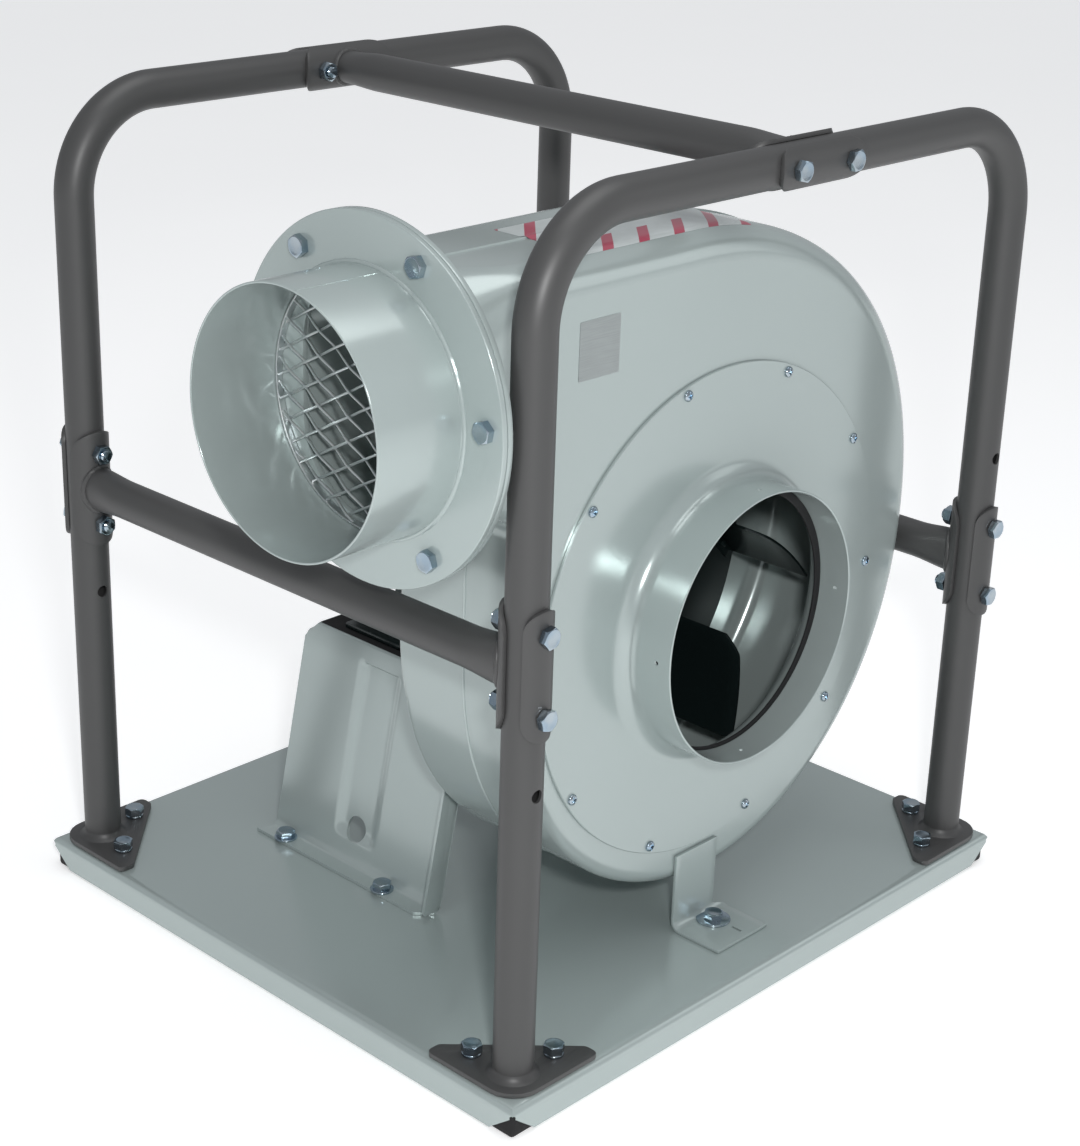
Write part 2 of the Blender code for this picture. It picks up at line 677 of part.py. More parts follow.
def build_crossbar(name, x, z, level):
    """Crossbar between the hoops with its welded saddles, the clamp plates and the bolts."""
    end = HOOP_HALF_GAP - TUBE_RADIUS / 2
    flare_start = HOOP_HALF_GAP - SADDLE_SEAT - BAR_FLARE
    flare_end = HOOP_HALF_GAP - SADDLE_SEAT
    stations = ((-end, 1), (-flare_end, 1), (-flare_start, 0), (flare_start, 0), (flare_end, 1), (end, 1))
    tools = []
    for wall, sides, overrun in ((0, TUBE_SIDES, 0), (TUBE_WALL, BORE_SIDES, OVERRUN)):
        rings = []
        for y, share in stations:
            across = TUBE_RADIUS + (BAR_END_HALF_WIDTH - TUBE_RADIUS) * share - wall
            along = TUBE_RADIUS + (BAR_END_HALF_HEIGHT - TUBE_RADIUS) * share - wall
            wide, tall = (along, across) if level else (across, along)
            reach = y + math.copysign(overrun, y) * share
            rings.append([(x + wide * c, reach, z + tall * s) for c, s in circle(1, sides)])
        tools.append(rings)
    bar = place(finish(loft(name, [tools[0]]), PAINT_DARK))
    along = (1, 0, 0) if level else (0, 0, 1)
    posts = [((x, side * HOOP_HALF_GAP, z), along, 2 * SADDLE_LENGTH) for side in (-1, 1)]
    cope = SADDLE_RADIUS + SADDLE_WALL / 3
    combine(bar, place(cylinders(f"{name}_cope", posts, cope, 2 * TUBE_SIDES)), "DIFFERENCE")
    saddles = []
    drills = []
    grip = 2 * (SADDLE_SEAT + OVERRUN)
    for side in (-1, 1):
        middle = (x, side * HOOP_HALF_GAP, z)
        inward = saddle_matrix(middle, side < 0, level)
        rings = half_pipe(SADDLE_RADIUS, SADDLE_RADIUS + SADDLE_WALL)
        saddles.append([[inward @ point for point in ring] for ring in rings])
        outward = saddle_matrix(middle, side > 0, level)
        word = "front" if side < 0 else "rear"
        clamp_name = name.replace("crossbar", f"{word}_clamp_plate")
        clamp = loft(clamp_name, [[[outward @ point for point in ring] for ring in rings]])
        place(finish(clamp, PAINT_DARK))
        rods = [(at, (0, 1, 0), grip) for at in bolt_places(middle, level)]
        holes = place(cylinders(f"{clamp_name}_holes", rods, BOLT_HOLE_RADIUS))
        combine(clamp, holes, "DIFFERENCE")
        drills += rods
        for number, at in enumerate(bolt_places(middle, level), 1):
            seat = at + Vector((0, side * SADDLE_SEAT, 0))
            bolt_name = name.replace("crossbar", f"{word}_bolt_{number}")
            add_bolt(bolt_name, seat, 0 if side < 0 else math.pi, BAR_GRIP)
    combine(bar, place(loft(f"{name}_saddles", saddles)), "UNION")
    combine(bar, place(loft(f"{name}_bore", [tools[1]])), "DIFFERENCE")
    combine(bar, place(cylinders(f"{name}_holes", drills, BOLT_HOLE_RADIUS)), "DIFFERENCE")


def casing_outline(mouth):
    """Outline of the scroll and its neck about the shaft, from the mouth's lower to upper end."""
    fillet = (-SCROLL_RADIUS - NECK_FILLET, NECK_BOTTOM - NECK_FILLET)
    points = [(-mouth, NECK_BOTTOM), (-(MOUTH_REACH + SCROLL_RADIUS + NECK_FILLET) / 2, NECK_BOTTOM)]
    points += arc(fillet, NECK_FILLET, math.pi / 2, 0, NECK_FILLET_STEPS)
    for step in range(SCROLL_STEPS + 1):
        angle = -math.pi + (SCROLL_END + math.pi) * step / SCROLL_STEPS
        radius = scroll_radius(angle)
        points.append((radius * math.cos(angle), radius * math.sin(angle)))
    start = points[-1][0]
    for step in range(1, NECK_STEPS):
        share = math.sin(math.pi / 2 * step / NECK_STEPS)
        points.append((start + (-MOUTH_REACH - start) * share, NECK_TOP))
    return [*points, (-mouth, NECK_TOP)]


def edge_radius(point):
    """Radius of the pressed edge: smaller beside the inlet cover, largest at the mouth."""
    away = math.hypot(*point)
    growth = min((away - SCROLL_RADIUS) / (SCROLL_RADII[-1] - SCROLL_RADIUS), 1)
    pressed = EDGE_START_RADIUS + (EDGE_RADIUS - EDGE_START_RADIUS) * growth
    flare = min(max((-point[0] - SCROLL_RADIUS) / (MOUTH_REACH - SCROLL_RADIUS), 0), 1)
    swell = (MOUTH_EDGE_RADIUS - EDGE_RADIUS) * flare**2 * (3 - 2 * flare)
    return min(pressed, away - COVER_RADIUS - FIT) + swell


def casing_rings(face, seam, wall, run):
    """Rings of one half of the casing, from its pressed face to the seam, offset by a wall."""
    way = math.copysign(1, seam - face)
    outline = casing_outline(MOUTH_REACH + run)
    last = len(outline) - 1
    normals = []
    for index in range(len(outline)):
        before = Vector(outline[max(index - 1, 0)])
        after = Vector(outline[min(index + 1, last)])
        span = (after - before).normalized()
        normals.append(Vector((span.y, -span.x)))
    rings = []
    for step in range(EDGE_STEPS + 2):
        turn = min(step / EDGE_STEPS, 1) * math.pi / 2
        ring = []
        for point, normal in zip(outline, normals):
            radius = edge_radius(point) - wall
            inset = wall + radius * (1 - math.sin(turn))
            depth = wall + radius * (1 - math.cos(turn))
            at = Vector(point) - normal * inset
            y = face + way * depth if step <= EDGE_STEPS else seam + way * run
            ring.append((at.x, y, at.y))
        rings.append(ring)
    return rings


def build_casing():
    """Front and rear halves of the scroll, and the flange ring round the mouth."""
    halves = (("casing_front_shell", CASING_FRONT, SEAM - FIT / 2, CASING_WHEEL_HOLE),
              ("casing_rear_shell", CASING_BACK, SEAM + FIT / 2, CASING_HUB_HOLE))
    for name, face, seam, hole in halves:
        shell = finish(loft(name, [casing_rings(face, seam, 0, 0)]), PAINT_GREY)
        place(shell, (0, 0, SHAFT_HEIGHT))
        inside = loft(f"{name}_inside", [casing_rings(face, seam, CASING_WALL, OVERRUN)])
        combine(shell, place(inside, (0, 0, SHAFT_HEIGHT)), "DIFFERENCE")
        rod = [((0, face, 0), (0, 1, 0), 2 * (CASING_WALL + OVERRUN))]
        opening = cylinders(f"{name}_opening", rod, hole, BARREL_STEPS)
        combine(shell, place(opening, (0, 0, SHAFT_HEIGHT)), "DIFFERENCE")
    half_width = (CASING_BACK - CASING_FRONT) / 2 - CASING_WALL
    half_height = NECK_HEIGHT / 2 - CASING_WALL
    radius = MOUTH_EDGE_RADIUS - CASING_WALL
    signs = ((-1, -1), (1, -1), (1, 1), (-1, 1))
    corners = [(x * half_width, z * half_height, radius) for x, z in signs]
    lines = [circle(FLANGE_RADIUS, BARREL_STEPS), rounded(corners, 5)]
    lines += [circle(BOLT_HOLE_RADIUS, HOLE_SIDES, centre) for centre in flange_bolts()]
    ring = finish(plate("casing_flange", lines, FLANGE_WALL), PAINT_GREY)
    at = (-MOUTH_REACH - FIT - FLANGE_WALL / 2, SEAM, OUTLET_HEIGHT)
    place(ring, at, (math.pi / 2, 0, -math.pi / 2))


def flange_bolts():
    """Bolt places on the outlet flange, as seen from the outlet."""
    return circle(FLANGE_BOLT_CIRCLE, FLANGE_BOLTS, start=FLANGE_BOLT_ANGLE)


def build_outlet():
    """Spigot with its flange, the wire guard inside it and the six bolts."""
    rim = SPIGOT_REACH
    root = FLANGE_REACH
    inner = SPIGOT_RADIUS - SPIGOT_WALL
    profile = [(inner, root - FLANGE_WALL), (FLANGE_RADIUS, root - FLANGE_WALL), (FLANGE_RADIUS, root),
               (SPIGOT_RADIUS + SPIGOT_FILLET, root), (SPIGOT_RADIUS, root + SPIGOT_FILLET),
               (SPIGOT_RADIUS, rim), (inner, rim)]
    at = (0, SEAM, OUTLET_HEIGHT)
    turn = (0, 0, math.pi / 2)
    collar = place(finish(turned("outlet_collar", profile, BARREL_STEPS), PAINT_GREY), at, turn)
    rods = [((-y, root - FLANGE_WALL / 2, z), (0, 1, 0), FLANGE_WALL + 2 * OVERRUN)
            for y, z in flange_bolts()]
    drill = place(cylinders("outlet_collar_holes", rods, BOLT_HOLE_RADIUS), at, turn)
    combine(collar, drill, "DIFFERENCE")
    outer = inner - FIT
    behind = root - FLANGE_WALL
    ring = [(outer - GUARD_RIM, behind), (outer, behind), (outer, behind + GUARD_DEPTH),
            (outer - GUARD_RIM, behind + GUARD_DEPTH)]
    guard = place(finish(turned("outlet_guard", ring, BARREL_STEPS), ZINC), at, turn)
    reach = outer - GUARD_RIM / 2
    count = int(reach / GUARD_PITCH)
    layers = ((GUARD_TURN, behind + FIT + GUARD_WIRE / 2),
              (GUARD_TURN + math.pi / 2, behind + GUARD_DEPTH - FIT - GUARD_WIRE / 2))
    for number, (angle, middle) in enumerate(layers, 1):
        wires = []
        way = Vector((math.cos(angle), 0, math.sin(angle)))
        across = Vector((-math.sin(angle), 0, math.cos(angle)))
        thick = Vector((0, GUARD_WIRE / 2, 0))
        for index in range(-count, count + 1):
            offset = index * GUARD_PITCH
            half = math.sqrt(reach**2 - offset**2)
            wide = across * GUARD_WIRE / 2
            middle_line = Vector((0, middle, 0)) + across * offset
            wires.append([[middle_line + way * end + wide + thick, middle_line + way * end - wide + thick,
                           middle_line + way * end - wide - thick, middle_line + way * end + wide - thick]
                          for end in (-half, half)])
        mesh = loft(f"outlet_guard_wires_{number}", wires)
        combine(guard, place(mesh, at, turn), "UNION")
    grip = 2 * FLANGE_WALL + 3 * FIT
    for number, (y, z) in enumerate(flange_bolts(), 1):
        seat = (-FLANGE_REACH - FIT, SEAM - y, OUTLET_HEIGHT + z)
        add_bolt(f"outlet_bolt_{number}", seat, -math.pi / 2, grip, FLANGE_NUT, FLANGE_BOLT_END)


def build_inlet():
    """Cover disc drawn out into the inlet spigot, and the ring at the end of its throat."""
    face = CASING_FRONT - FIT
    front = face - COVER_WALL
    outer = INLET_RADIUS
    inner = outer - INLET_WALL
    fillet = arc((outer + INLET_FILLET, front - INLET_FILLET), INLET_FILLET, math.pi / 2, math.pi, 2)
    reach = INLET_FILLET + INLET_WALL
    back = arc((outer + INLET_FILLET, front - INLET_FILLET), reach, math.pi, math.pi / 2, 2)
    profile = [(COVER_RADIUS, face), (COVER_RADIUS, front), *fillet, (outer, INLET_RIM),
               (inner, INLET_RIM), *back[:-1], (outer + INLET_FILLET + COVER_WALL, face)]
    at = (0, 0, SHAFT_HEIGHT)
    place(finish(turned("inlet_cover", profile, BARREL_STEPS), PAINT_GREY), at)
    seat = inner - FIT
    deep = front - INLET_FILLET
    ring = [(seat, deep - THROAT_RING_DEPTH), (seat, deep), (seat - THROAT_RING_WALL, deep),
            (seat - THROAT_RING_WALL, deep - THROAT_RING_DEPTH)]
    place(finish(turned("throat_ring", ring, BARREL_STEPS), RUBBER), at)


def build_impeller(axis):
    """Wheel, hub and bolt, which turn with the shaft."""
    bore = HUB_NOSE_RADIUS + FIT
    disc = [(bore, WHEEL_FACE), (bore, WHEEL_FACE + WHEEL_WALL), (WHEEL_RADIUS, WHEEL_FACE + WHEEL_WALL),
            (WHEEL_RADIUS, WHEEL_FACE)]
    wheel = place(finish(turned("impeller", disc, BARREL_STEPS), WHEEL_PAINT), parent=axis)
    start = math.sqrt(BLADE_INNER_RADIUS**2 - BLADE_OFFSET**2)
    end = math.sqrt(WHEEL_RADIUS**2 - (BLADE_OFFSET + BLADE_WALL) ** 2)
    front = WHEEL_FACE - BLADE_WIDTH
    root = WHEEL_FACE + WELD
    outline = ((start, root), (end, root), (end, front), (start + BLADE_CUT_LENGTH, front),
               (start, front + BLADE_CUT_WIDTH))
    blades = []
    for index in range(BLADE_COUNT):
        angle = -2 * math.pi * index / BLADE_COUNT
        away = Vector((math.cos(angle), 0, math.sin(angle)))
        along = Vector((math.sin(angle), 0, -math.cos(angle)))
        rings = []
        for share in (-1 / 2, 1 / 2):
            base = away * (BLADE_OFFSET + BLADE_WALL * share)
            rings.append([base + along * s + Vector((0, y, 0)) for s, y in outline])
        blades.append(rings)
    combine(wheel, place(loft("impeller_blades", blades), parent=axis), "UNION")
    barrel_end = MOTOR_FRONT - FIT
    shaft_bore = SHAFT_RADIUS + FIT
    hub = [(shaft_bore, WHEEL_FACE - HUB_NOSE), (HUB_NOSE_RADIUS, WHEEL_FACE - HUB_NOSE),
           (HUB_NOSE_RADIUS, HUB_FACE), (HUB_FLANGE_RADIUS, HUB_FACE),
           (HUB_FLANGE_RADIUS, HUB_FACE + HUB_FLANGE_WALL), (HUB_BARREL_RADIUS, HUB_FACE + HUB_FLANGE_WALL),
           (HUB_BARREL_RADIUS, barrel_end), (shaft_bore, barrel_end)]
    place(finish(turned("impeller_hub", hub, HIDDEN_STEPS), WHEEL_PAINT), parent=axis)
    seat = WHEEL_FACE - HUB_NOSE - FIT
    rings = [[(x, y, z) for x, z in circle(radius, 6)] for radius, y in
             ((HUB_BOLT_FLATS / math.sqrt(3), seat - HUB_WASHER - HUB_BOLT_HEAD),
              (HUB_BOLT_FLATS / math.sqrt(3), seat - HUB_WASHER))]
    profile = [(0, seat - HUB_WASHER), (HUB_WASHER_RADIUS, seat - HUB_WASHER), (HUB_WASHER_RADIUS, seat),
               (HUB_BOLT_RADIUS, seat), (HUB_BOLT_RADIUS, SHAFT_TIP + HUB_BOLT_DEPTH - FIT),
               (0, SHAFT_TIP + HUB_BOLT_DEPTH - FIT)]
    bolt = place(finish(turned("hub_bolt", profile, HIDDEN_STEPS, False), ZINC), parent=axis)
    rings[1] = [(x, y + WELD, z) for x, y, z in rings[1]]
    combine(bolt, place(loft("hub_bolt_head", [rings]), parent=axis), "UNION")


def shield_profile(front, length):
    """Half section of an end shield along Y, its boss first, then its rim against the body."""
    pocket = BEARING_RADIUS + FIT
    rim = front + length
    return [(SHAFT_CORE_RADIUS, front), (SHIELD_BOSS_RADIUS, front),
            (SHIELD_BOSS_RADIUS, rim - SHIELD_RIM - SHIELD_WEB),
            (SHIELD_RADIUS - SHIELD_WEB, rim - SHIELD_RIM), (SHIELD_RADIUS, rim - SHIELD_RIM),
            (SHIELD_RADIUS, rim), (SHIELD_RADIUS - SHIELD_WEB, rim),
            (SHIELD_BOSS_RADIUS, rim - SHIELD_WEB), (SHIELD_BOSS_RADIUS, rim), (pocket, rim),
            (pocket, front + SHIELD_LIP), (SHAFT_CORE_RADIUS, front + SHIELD_LIP)]


def mirror_profile(profile, plane):
    """Mirror a profile along Y about a plane."""
    return [(radius, 2 * plane - along) for radius, along in profile]


def build_motor(axis):
    """Foot-mounted motor: body, end shields, bearings, stator, rotor, shaft, fan and cowl."""
    at = (0, 0, SHAFT_HEIGHT)
    middle = (BODY_FRONT + BODY_REAR) / 2
    pitch = 2 * math.pi / MOTOR_FINS
    fins = []
    for index in range(MOTOR_FINS):
        for share, radius in ((-FIN_ROOT_SHARE, MOTOR_CORE_RADIUS), (-FIN_TIP_SHARE, MOTOR_FIN_RADIUS),
                              (FIN_TIP_SHARE, MOTOR_FIN_RADIUS), (FIN_ROOT_SHARE, MOTOR_CORE_RADIUS)):
            angle = pitch * (index + share)
            fins.append((radius * math.cos(angle), radius * math.sin(angle)))
    upright = (math.pi / 2, 0, 0)
    body = plate("motor_frame", [fins, circle(MOTOR_BORE, TURN_STEPS)], MOTOR_BODY_LENGTH)
    place(finish(body, MOTOR_PAINT), (0, middle, SHAFT_HEIGHT), upright)
    sole = -MOTOR_SHAFT_HEIGHT
    outer = FOOT_PAD_HALF_SPAN
    inner = outer - FOOT_PAD_WIDTH
    chest = -(MOTOR_BORE + MOTOR_CORE_RADIUS) / 2 * math.sin(math.pi / 4)
    for side in (-1, 1):
        foot = [(inner, sole), (outer, sole), (outer, sole + FOOT_PAD_THICKNESS),
                (inner + FOOT_WEB_WIDTH, sole + FOOT_PAD_THICKNESS), (-chest + WELD, chest),
                (-chest - FOOT_WEB_WIDTH / 2, chest - FOOT_WEB_WIDTH / 3)]
        line = [(side * x, z) for x, z in foot]
        block = plate(f"motor_foot_{side}", [line], FOOT_PAD_LENGTH)
        combine(body, place(block, (0, middle, SHAFT_HEIGHT), upright), "UNION")
    pad_top = MOTOR_FIN_RADIUS + BOX_PAD_RISE
    pad = box("motor_box_pad", (-BOX_PAD_WIDTH / 2, middle - BOX_PAD_LENGTH / 2, MOTOR_BORE + WELD),
              (BOX_PAD_WIDTH / 2, middle + BOX_PAD_LENGTH / 2, pad_top))
    combine(body, place(pad, at), "UNION")
    hollow = turned("motor_bore", [(0, BODY_FRONT - OVERRUN), (MOTOR_BORE, BODY_FRONT - OVERRUN),
                                   (MOTOR_BORE, BODY_REAR + OVERRUN), (0, BODY_REAR + OVERRUN)],
                    closed=False)
    combine(body, place(hollow, at), "DIFFERENCE")

    front = shield_profile(MOTOR_FRONT, MOTOR_SHIELD_DEPTH - FIT)
    rear = mirror_profile(front, middle)
    place(finish(turned("front_end_shield", front), MOTOR_PAINT), at)
    place(finish(turned("rear_end_shield", rear), MOTOR_PAINT), at)
    lip = MOTOR_FRONT + SHIELD_LIP + FIT
    seat = SHAFT_SEAT_RADIUS + FIT
    shield = (BEARING_RADIUS + seat) / 2
    bearing = [(seat, lip), (shield, lip + BEARING_GROOVE), (BEARING_RADIUS, lip),
               (BEARING_RADIUS, lip + BEARING_WIDTH), (seat, lip + BEARING_WIDTH)]
    place(finish(turned("front_bearing", bearing), STEEL), at)
    place(finish(turned("rear_bearing", mirror_profile(bearing, middle)), STEEL), at)

    stack = STATOR_LENGTH / 2
    stator = [(STATOR_INNER_RADIUS, middle - stack), (MOTOR_BORE - FIT, middle - stack),
              (MOTOR_BORE - FIT, middle + stack), (STATOR_INNER_RADIUS, middle + stack)]
    place(finish(turned("motor_stator", stator), STEEL), at)
    rotor_radius = STATOR_INNER_RADIUS - ROTOR_AIR_GAP
    core = SHAFT_CORE_RADIUS + FIT
    rotor = [(core, middle - stack), (rotor_radius, middle - stack), (rotor_radius, middle + stack),
             (core, middle + stack)]
    place(finish(turned("motor_rotor", rotor), STEEL), parent=axis)

    inside = lip + BEARING_WIDTH + FIT
    far = 2 * middle
    fan_seat = far - MOTOR_FRONT + FIT
    fan_end = fan_seat + COOLING_FAN_DISC + COOLING_FAN_DEPTH
    drill = HUB_BOLT_RADIUS + FIT
    shaft = [(0, SHAFT_TIP + HUB_BOLT_DEPTH), (drill, SHAFT_TIP + HUB_BOLT_DEPTH), (drill, SHAFT_TIP),
             (SHAFT_RADIUS, SHAFT_TIP), (SHAFT_RADIUS, MOTOR_FRONT), (SHAFT_SEAT_RADIUS, MOTOR_FRONT),
             (SHAFT_SEAT_RADIUS, inside), (SHAFT_CORE_RADIUS, inside),
             (SHAFT_CORE_RADIUS, far - inside), (SHAFT_SEAT_RADIUS, far - inside),
             (SHAFT_SEAT_RADIUS, far - MOTOR_FRONT), (SHAFT_RADIUS, far - MOTOR_FRONT),
             (SHAFT_RADIUS, fan_end - FIT), (0, fan_end - FIT)]
    place(finish(turned("motor_shaft", shaft, HIDDEN_STEPS, False), STEEL), parent=axis)

    bore = SHAFT_RADIUS + FIT
    fan_back = fan_seat + COOLING_FAN_DISC
    fan = [(bore, fan_seat), (COOLING_FAN_RADIUS, fan_seat), (COOLING_FAN_RADIUS, fan_back),
           (COOLING_FAN_HUB, fan_back), (COOLING_FAN_HUB, fan_end), (bore, fan_end)]
    wheel = place(finish(turned("cooling_fan", fan), BLACK_PLASTIC), parent=axis)
    blades = []
    for index in range(COOLING_FAN_BLADES):
        angle = 2 * math.pi * index / COOLING_FAN_BLADES
        way = Vector((math.cos(angle), 0, math.sin(angle)))
        across = Vector((-math.sin(angle), 0, math.cos(angle))) * (COOLING_FAN_DISC / 2)
        low = Vector((0, fan_back - WELD, 0))
        high = Vector((0, fan_end - WELD, 0))
        rings = [[way * radius + across + low, way * radius - across + low,
                  way * radius - across + high, way * radius + across + high]
                 for radius in (COOLING_FAN_HUB - WELD, COOLING_FAN_RADIUS - WELD)]
        blades.append(rings)
    combine(wheel, place(loft("cooling_fan_blades", blades), parent=axis), "UNION")

    start = BODY_REAR + 2 * FIT
    end = start + COWL_LENGTH
    lining = COWL_RADIUS - COWL_WALL
    cowl = [(lining, start), (COWL_RADIUS, start), (COWL_RADIUS, end - COWL_EDGE),
            (COWL_RADIUS - COWL_EDGE, end), (0, end), (0, end - COWL_WALL),
            (lining - COWL_EDGE, end - COWL_WALL), (lining, end - COWL_EDGE - COWL_WALL)]
    shell = place(finish(turned("fan_cowl", cowl), BLACK_PLASTIC), at)
    slots = []
    for ring in range(COWL_SLOT_RINGS):
        inner = COWL_EYE + ring * COWL_SLOT_PITCH
        outer = inner + COWL_SLOT
        for spoke in range(COWL_SPOKES):
            rings = []
            quarter = 2 * math.pi / COWL_SPOKES
            trim = COWL_SPOKE_WIDTH / inner / 2
            for step in range(COWL_SLOT_STEPS + 1):
                angle = quarter * spoke + trim + (quarter - 2 * trim) * step / COWL_SLOT_STEPS
                way = Vector((math.cos(angle), 0, math.sin(angle)))
                near = Vector((0, end - COWL_WALL - OVERRUN, 0))
                far_side = Vector((0, end + OVERRUN, 0))
                rings.append([way * inner + near, way * outer + near, way * outer + far_side,
                              way * inner + far_side])
            slots.append(rings)
    combine(shell, place(loft("fan_cowl_slots", slots), at), "DIFFERENCE")

    floor = pad_top + FIT
    half = Vector((BOX_WIDTH / 2, BOX_LENGTH / 2, 0))
    shrink = Vector((BOX_WALL + BOX_EDGE / 3, BOX_WALL + BOX_EDGE / 3, 0))

    def slab(name, low, high, inset=Vector((0, 0, 0))):
        near = Vector((0, middle, low)) - half + inset
        return box(name, near, Vector((0, middle, high)) + half - inset)

    case = slab("terminal_box", floor, floor + BOX_HEIGHT)
    place(finish(round_edges(case, BOX_EDGE, 1), MOTOR_PAINT), at)
    hollow = slab("terminal_box_inside", floor + BOX_WALL, floor + BOX_HEIGHT + OVERRUN, shrink)
    combine(case, place(hollow, at), "DIFFERENCE")
    lid_floor = floor + BOX_HEIGHT + FIT
    lid = slab("terminal_box_lid", lid_floor, lid_floor + BOX_LID)
    place(finish(round_edges(lid, BOX_EDGE / 2, 1), MOTOR_PAINT), at)
    seat = BOX_WIDTH / 2 + FIT
    neck = GLAND_RADIUS - WELD
    gland = [(GLAND_BORE, seat), (GLAND_RADIUS, seat), (GLAND_RADIUS, seat + GLAND_LENGTH / 3),
             (neck, seat + GLAND_LENGTH / 3), (neck, seat + 3 * GLAND_LENGTH / 4),
             (GLAND_BORE + WELD, seat + GLAND_LENGTH), (GLAND_BORE, seat + GLAND_LENGTH)]
    nut = finish(turned("cable_gland", gland, HIDDEN_STEPS), BLACK_PLASTIC)
    place(nut, (0, middle, SHAFT_HEIGHT + floor + BOX_HEIGHT / 2), (0, 0, -math.pi / 2))


def pedestal_line(dent):
    """Outer line of the pedestal's section: its cap laps the sides, which are pressed in by a dent."""
    drop = PEDESTAL_TOP - PEDESTAL_FLANGE_TOP
    slope = (PEDESTAL_BASE_HALF - PEDESTAL_TOP_HALF) / drop

    def side(height):
        return PEDESTAL_BASE_HALF - slope * (height - PEDESTAL_FLANGE_TOP)

    foot = CHANNEL_FOOT + CHANNEL_SLOPE
    cap = PEDESTAL_TOP - PEDESTAL_CAP
    under = cap - 2 * PEDESTAL_CAP_LAP
    shift = dent + PEDESTAL_CAP_LAP
    right = [(PEDESTAL_TOP_HALF, PEDESTAL_TOP), (side(cap), cap), (side(under) - shift, under),
             (side(foot) - shift, foot), (side(CHANNEL_FOOT) - PEDESTAL_CAP_LAP, CHANNEL_FOOT),
             (PEDESTAL_BASE_HALF, PEDESTAL_FLANGE_TOP),
             (PEDESTAL_BASE_HALF + PEDESTAL_FLANGE, PEDESTAL_FLANGE_TOP)]
    return [(-x, z) for x, z in reversed(right)] + right


def build_pedestal():
    """Folded pedestal with its front flanges, side channels and holes, and the motor's plate."""
    stations = ((PEDESTAL_FRONT + FIT, 0), (CHANNEL_FRONT - CHANNEL_SLOPE / 2, 0),
                (CHANNEL_FRONT + CHANNEL_SLOPE / 2, 1), (CHANNEL_REAR - CHANNEL_SLOPE / 2, 1),
                (CHANNEL_REAR + CHANNEL_SLOPE / 2, 0), (PEDESTAL_FLANGE_REAR, 0))
    rings = []
    for y, share in stations:
        line = pedestal_line(CHANNEL_DEPTH * share)
        section = line + list(reversed(offset_line(line, PEDESTAL_SHEET)))
        rings.append([(x, y, z) for x, z in section])
    pedestal = place(finish(loft("pedestal", [rings]), PAINT_GREY))
    line = pedestal_line(0)
    top = line[len(line) // 2]
    foot = line[-2]
    slope = (foot[0] - top[0]) / (top[1] - foot[1])
    peak = top[1] - PEDESTAL_FRONT_FLANGE_DROP
    peak_x = top[0] + slope * PEDESTAL_FRONT_FLANGE_DROP
    root = PEDESTAL_SHEET / 2 + PEDESTAL_CAP_LAP
    outline = [(foot[0] - root, foot[1] - WELD), (foot[0] + PEDESTAL_FRONT_FLANGE, foot[1] - WELD),
               (peak_x + PEDESTAL_FRONT_FLANGE, peak), (peak_x - root, peak)]
    corner = (PEDESTAL_BASE_HALF + PEDESTAL_FLANGE, PEDESTAL_FRONT)
    edge = PEDESTAL_CORNER_CUT * math.sqrt(2)
    for side in (-1, 1):
        lines = [[(side * x, z) for x, z in outline]]
        flange = plate(f"pedestal_front_flange_{side}", lines, PEDESTAL_SHEET)
        place(flange, (0, PEDESTAL_FRONT + PEDESTAL_SHEET / 2, 0), (math.pi / 2, 0, 0))
        combine(pedestal, flange, "UNION")
        block = box(f"pedestal_corner_{side}", (-edge / 2, -edge / 2, -edge), (edge / 2, edge / 2, WELD))
        place(block, (side * corner[0], corner[1], foot[1]), (0, 0, math.pi / 4))
        combine(pedestal, block, "DIFFERENCE")
    rear = PEDESTAL_REAR
    beyond = PEDESTAL_FLANGE_REAR + OVERRUN
    above = PEDESTAL_TOP + OVERRUN
    profile = [(rear, PEDESTAL_FLANGE_TOP), (beyond, PEDESTAL_FLANGE_TOP), (beyond, above),
               (rear - PEDESTAL_REAR_CUT - OVERRUN, above), (rear, PEDESTAL_TOP - PEDESTAL_REAR_CUT)]
    reach = PEDESTAL_BASE_HALF + PEDESTAL_FLANGE + OVERRUN
    trim = loft("pedestal_rear_trim", [[[(x, y, z) for y, z in profile] for x in (-reach, reach)]])
    combine(pedestal, place(trim), "DIFFERENCE")
    rod = [((0, PEDESTAL_HOLE_BACK, PEDESTAL_HOLE_HEIGHT), (1, 0, 0), 2 * reach)]
    hole = cylinders("pedestal_side_holes", rod, PEDESTAL_HOLE_RADIUS, 2 * HOLE_SIDES)
    combine(pedestal, place(hole), "DIFFERENCE")
    low = (-MOTOR_PLATE_HALF, MOTOR_PLATE_FRONT, MOTOR_PLATE_TOP - MOTOR_PLATE)
    high = (MOTOR_PLATE_HALF, PEDESTAL_REAR - PEDESTAL_REAR_CUT, MOTOR_PLATE_TOP)
    place(finish(box("motor_plate", low, high), PAINT_DARK))


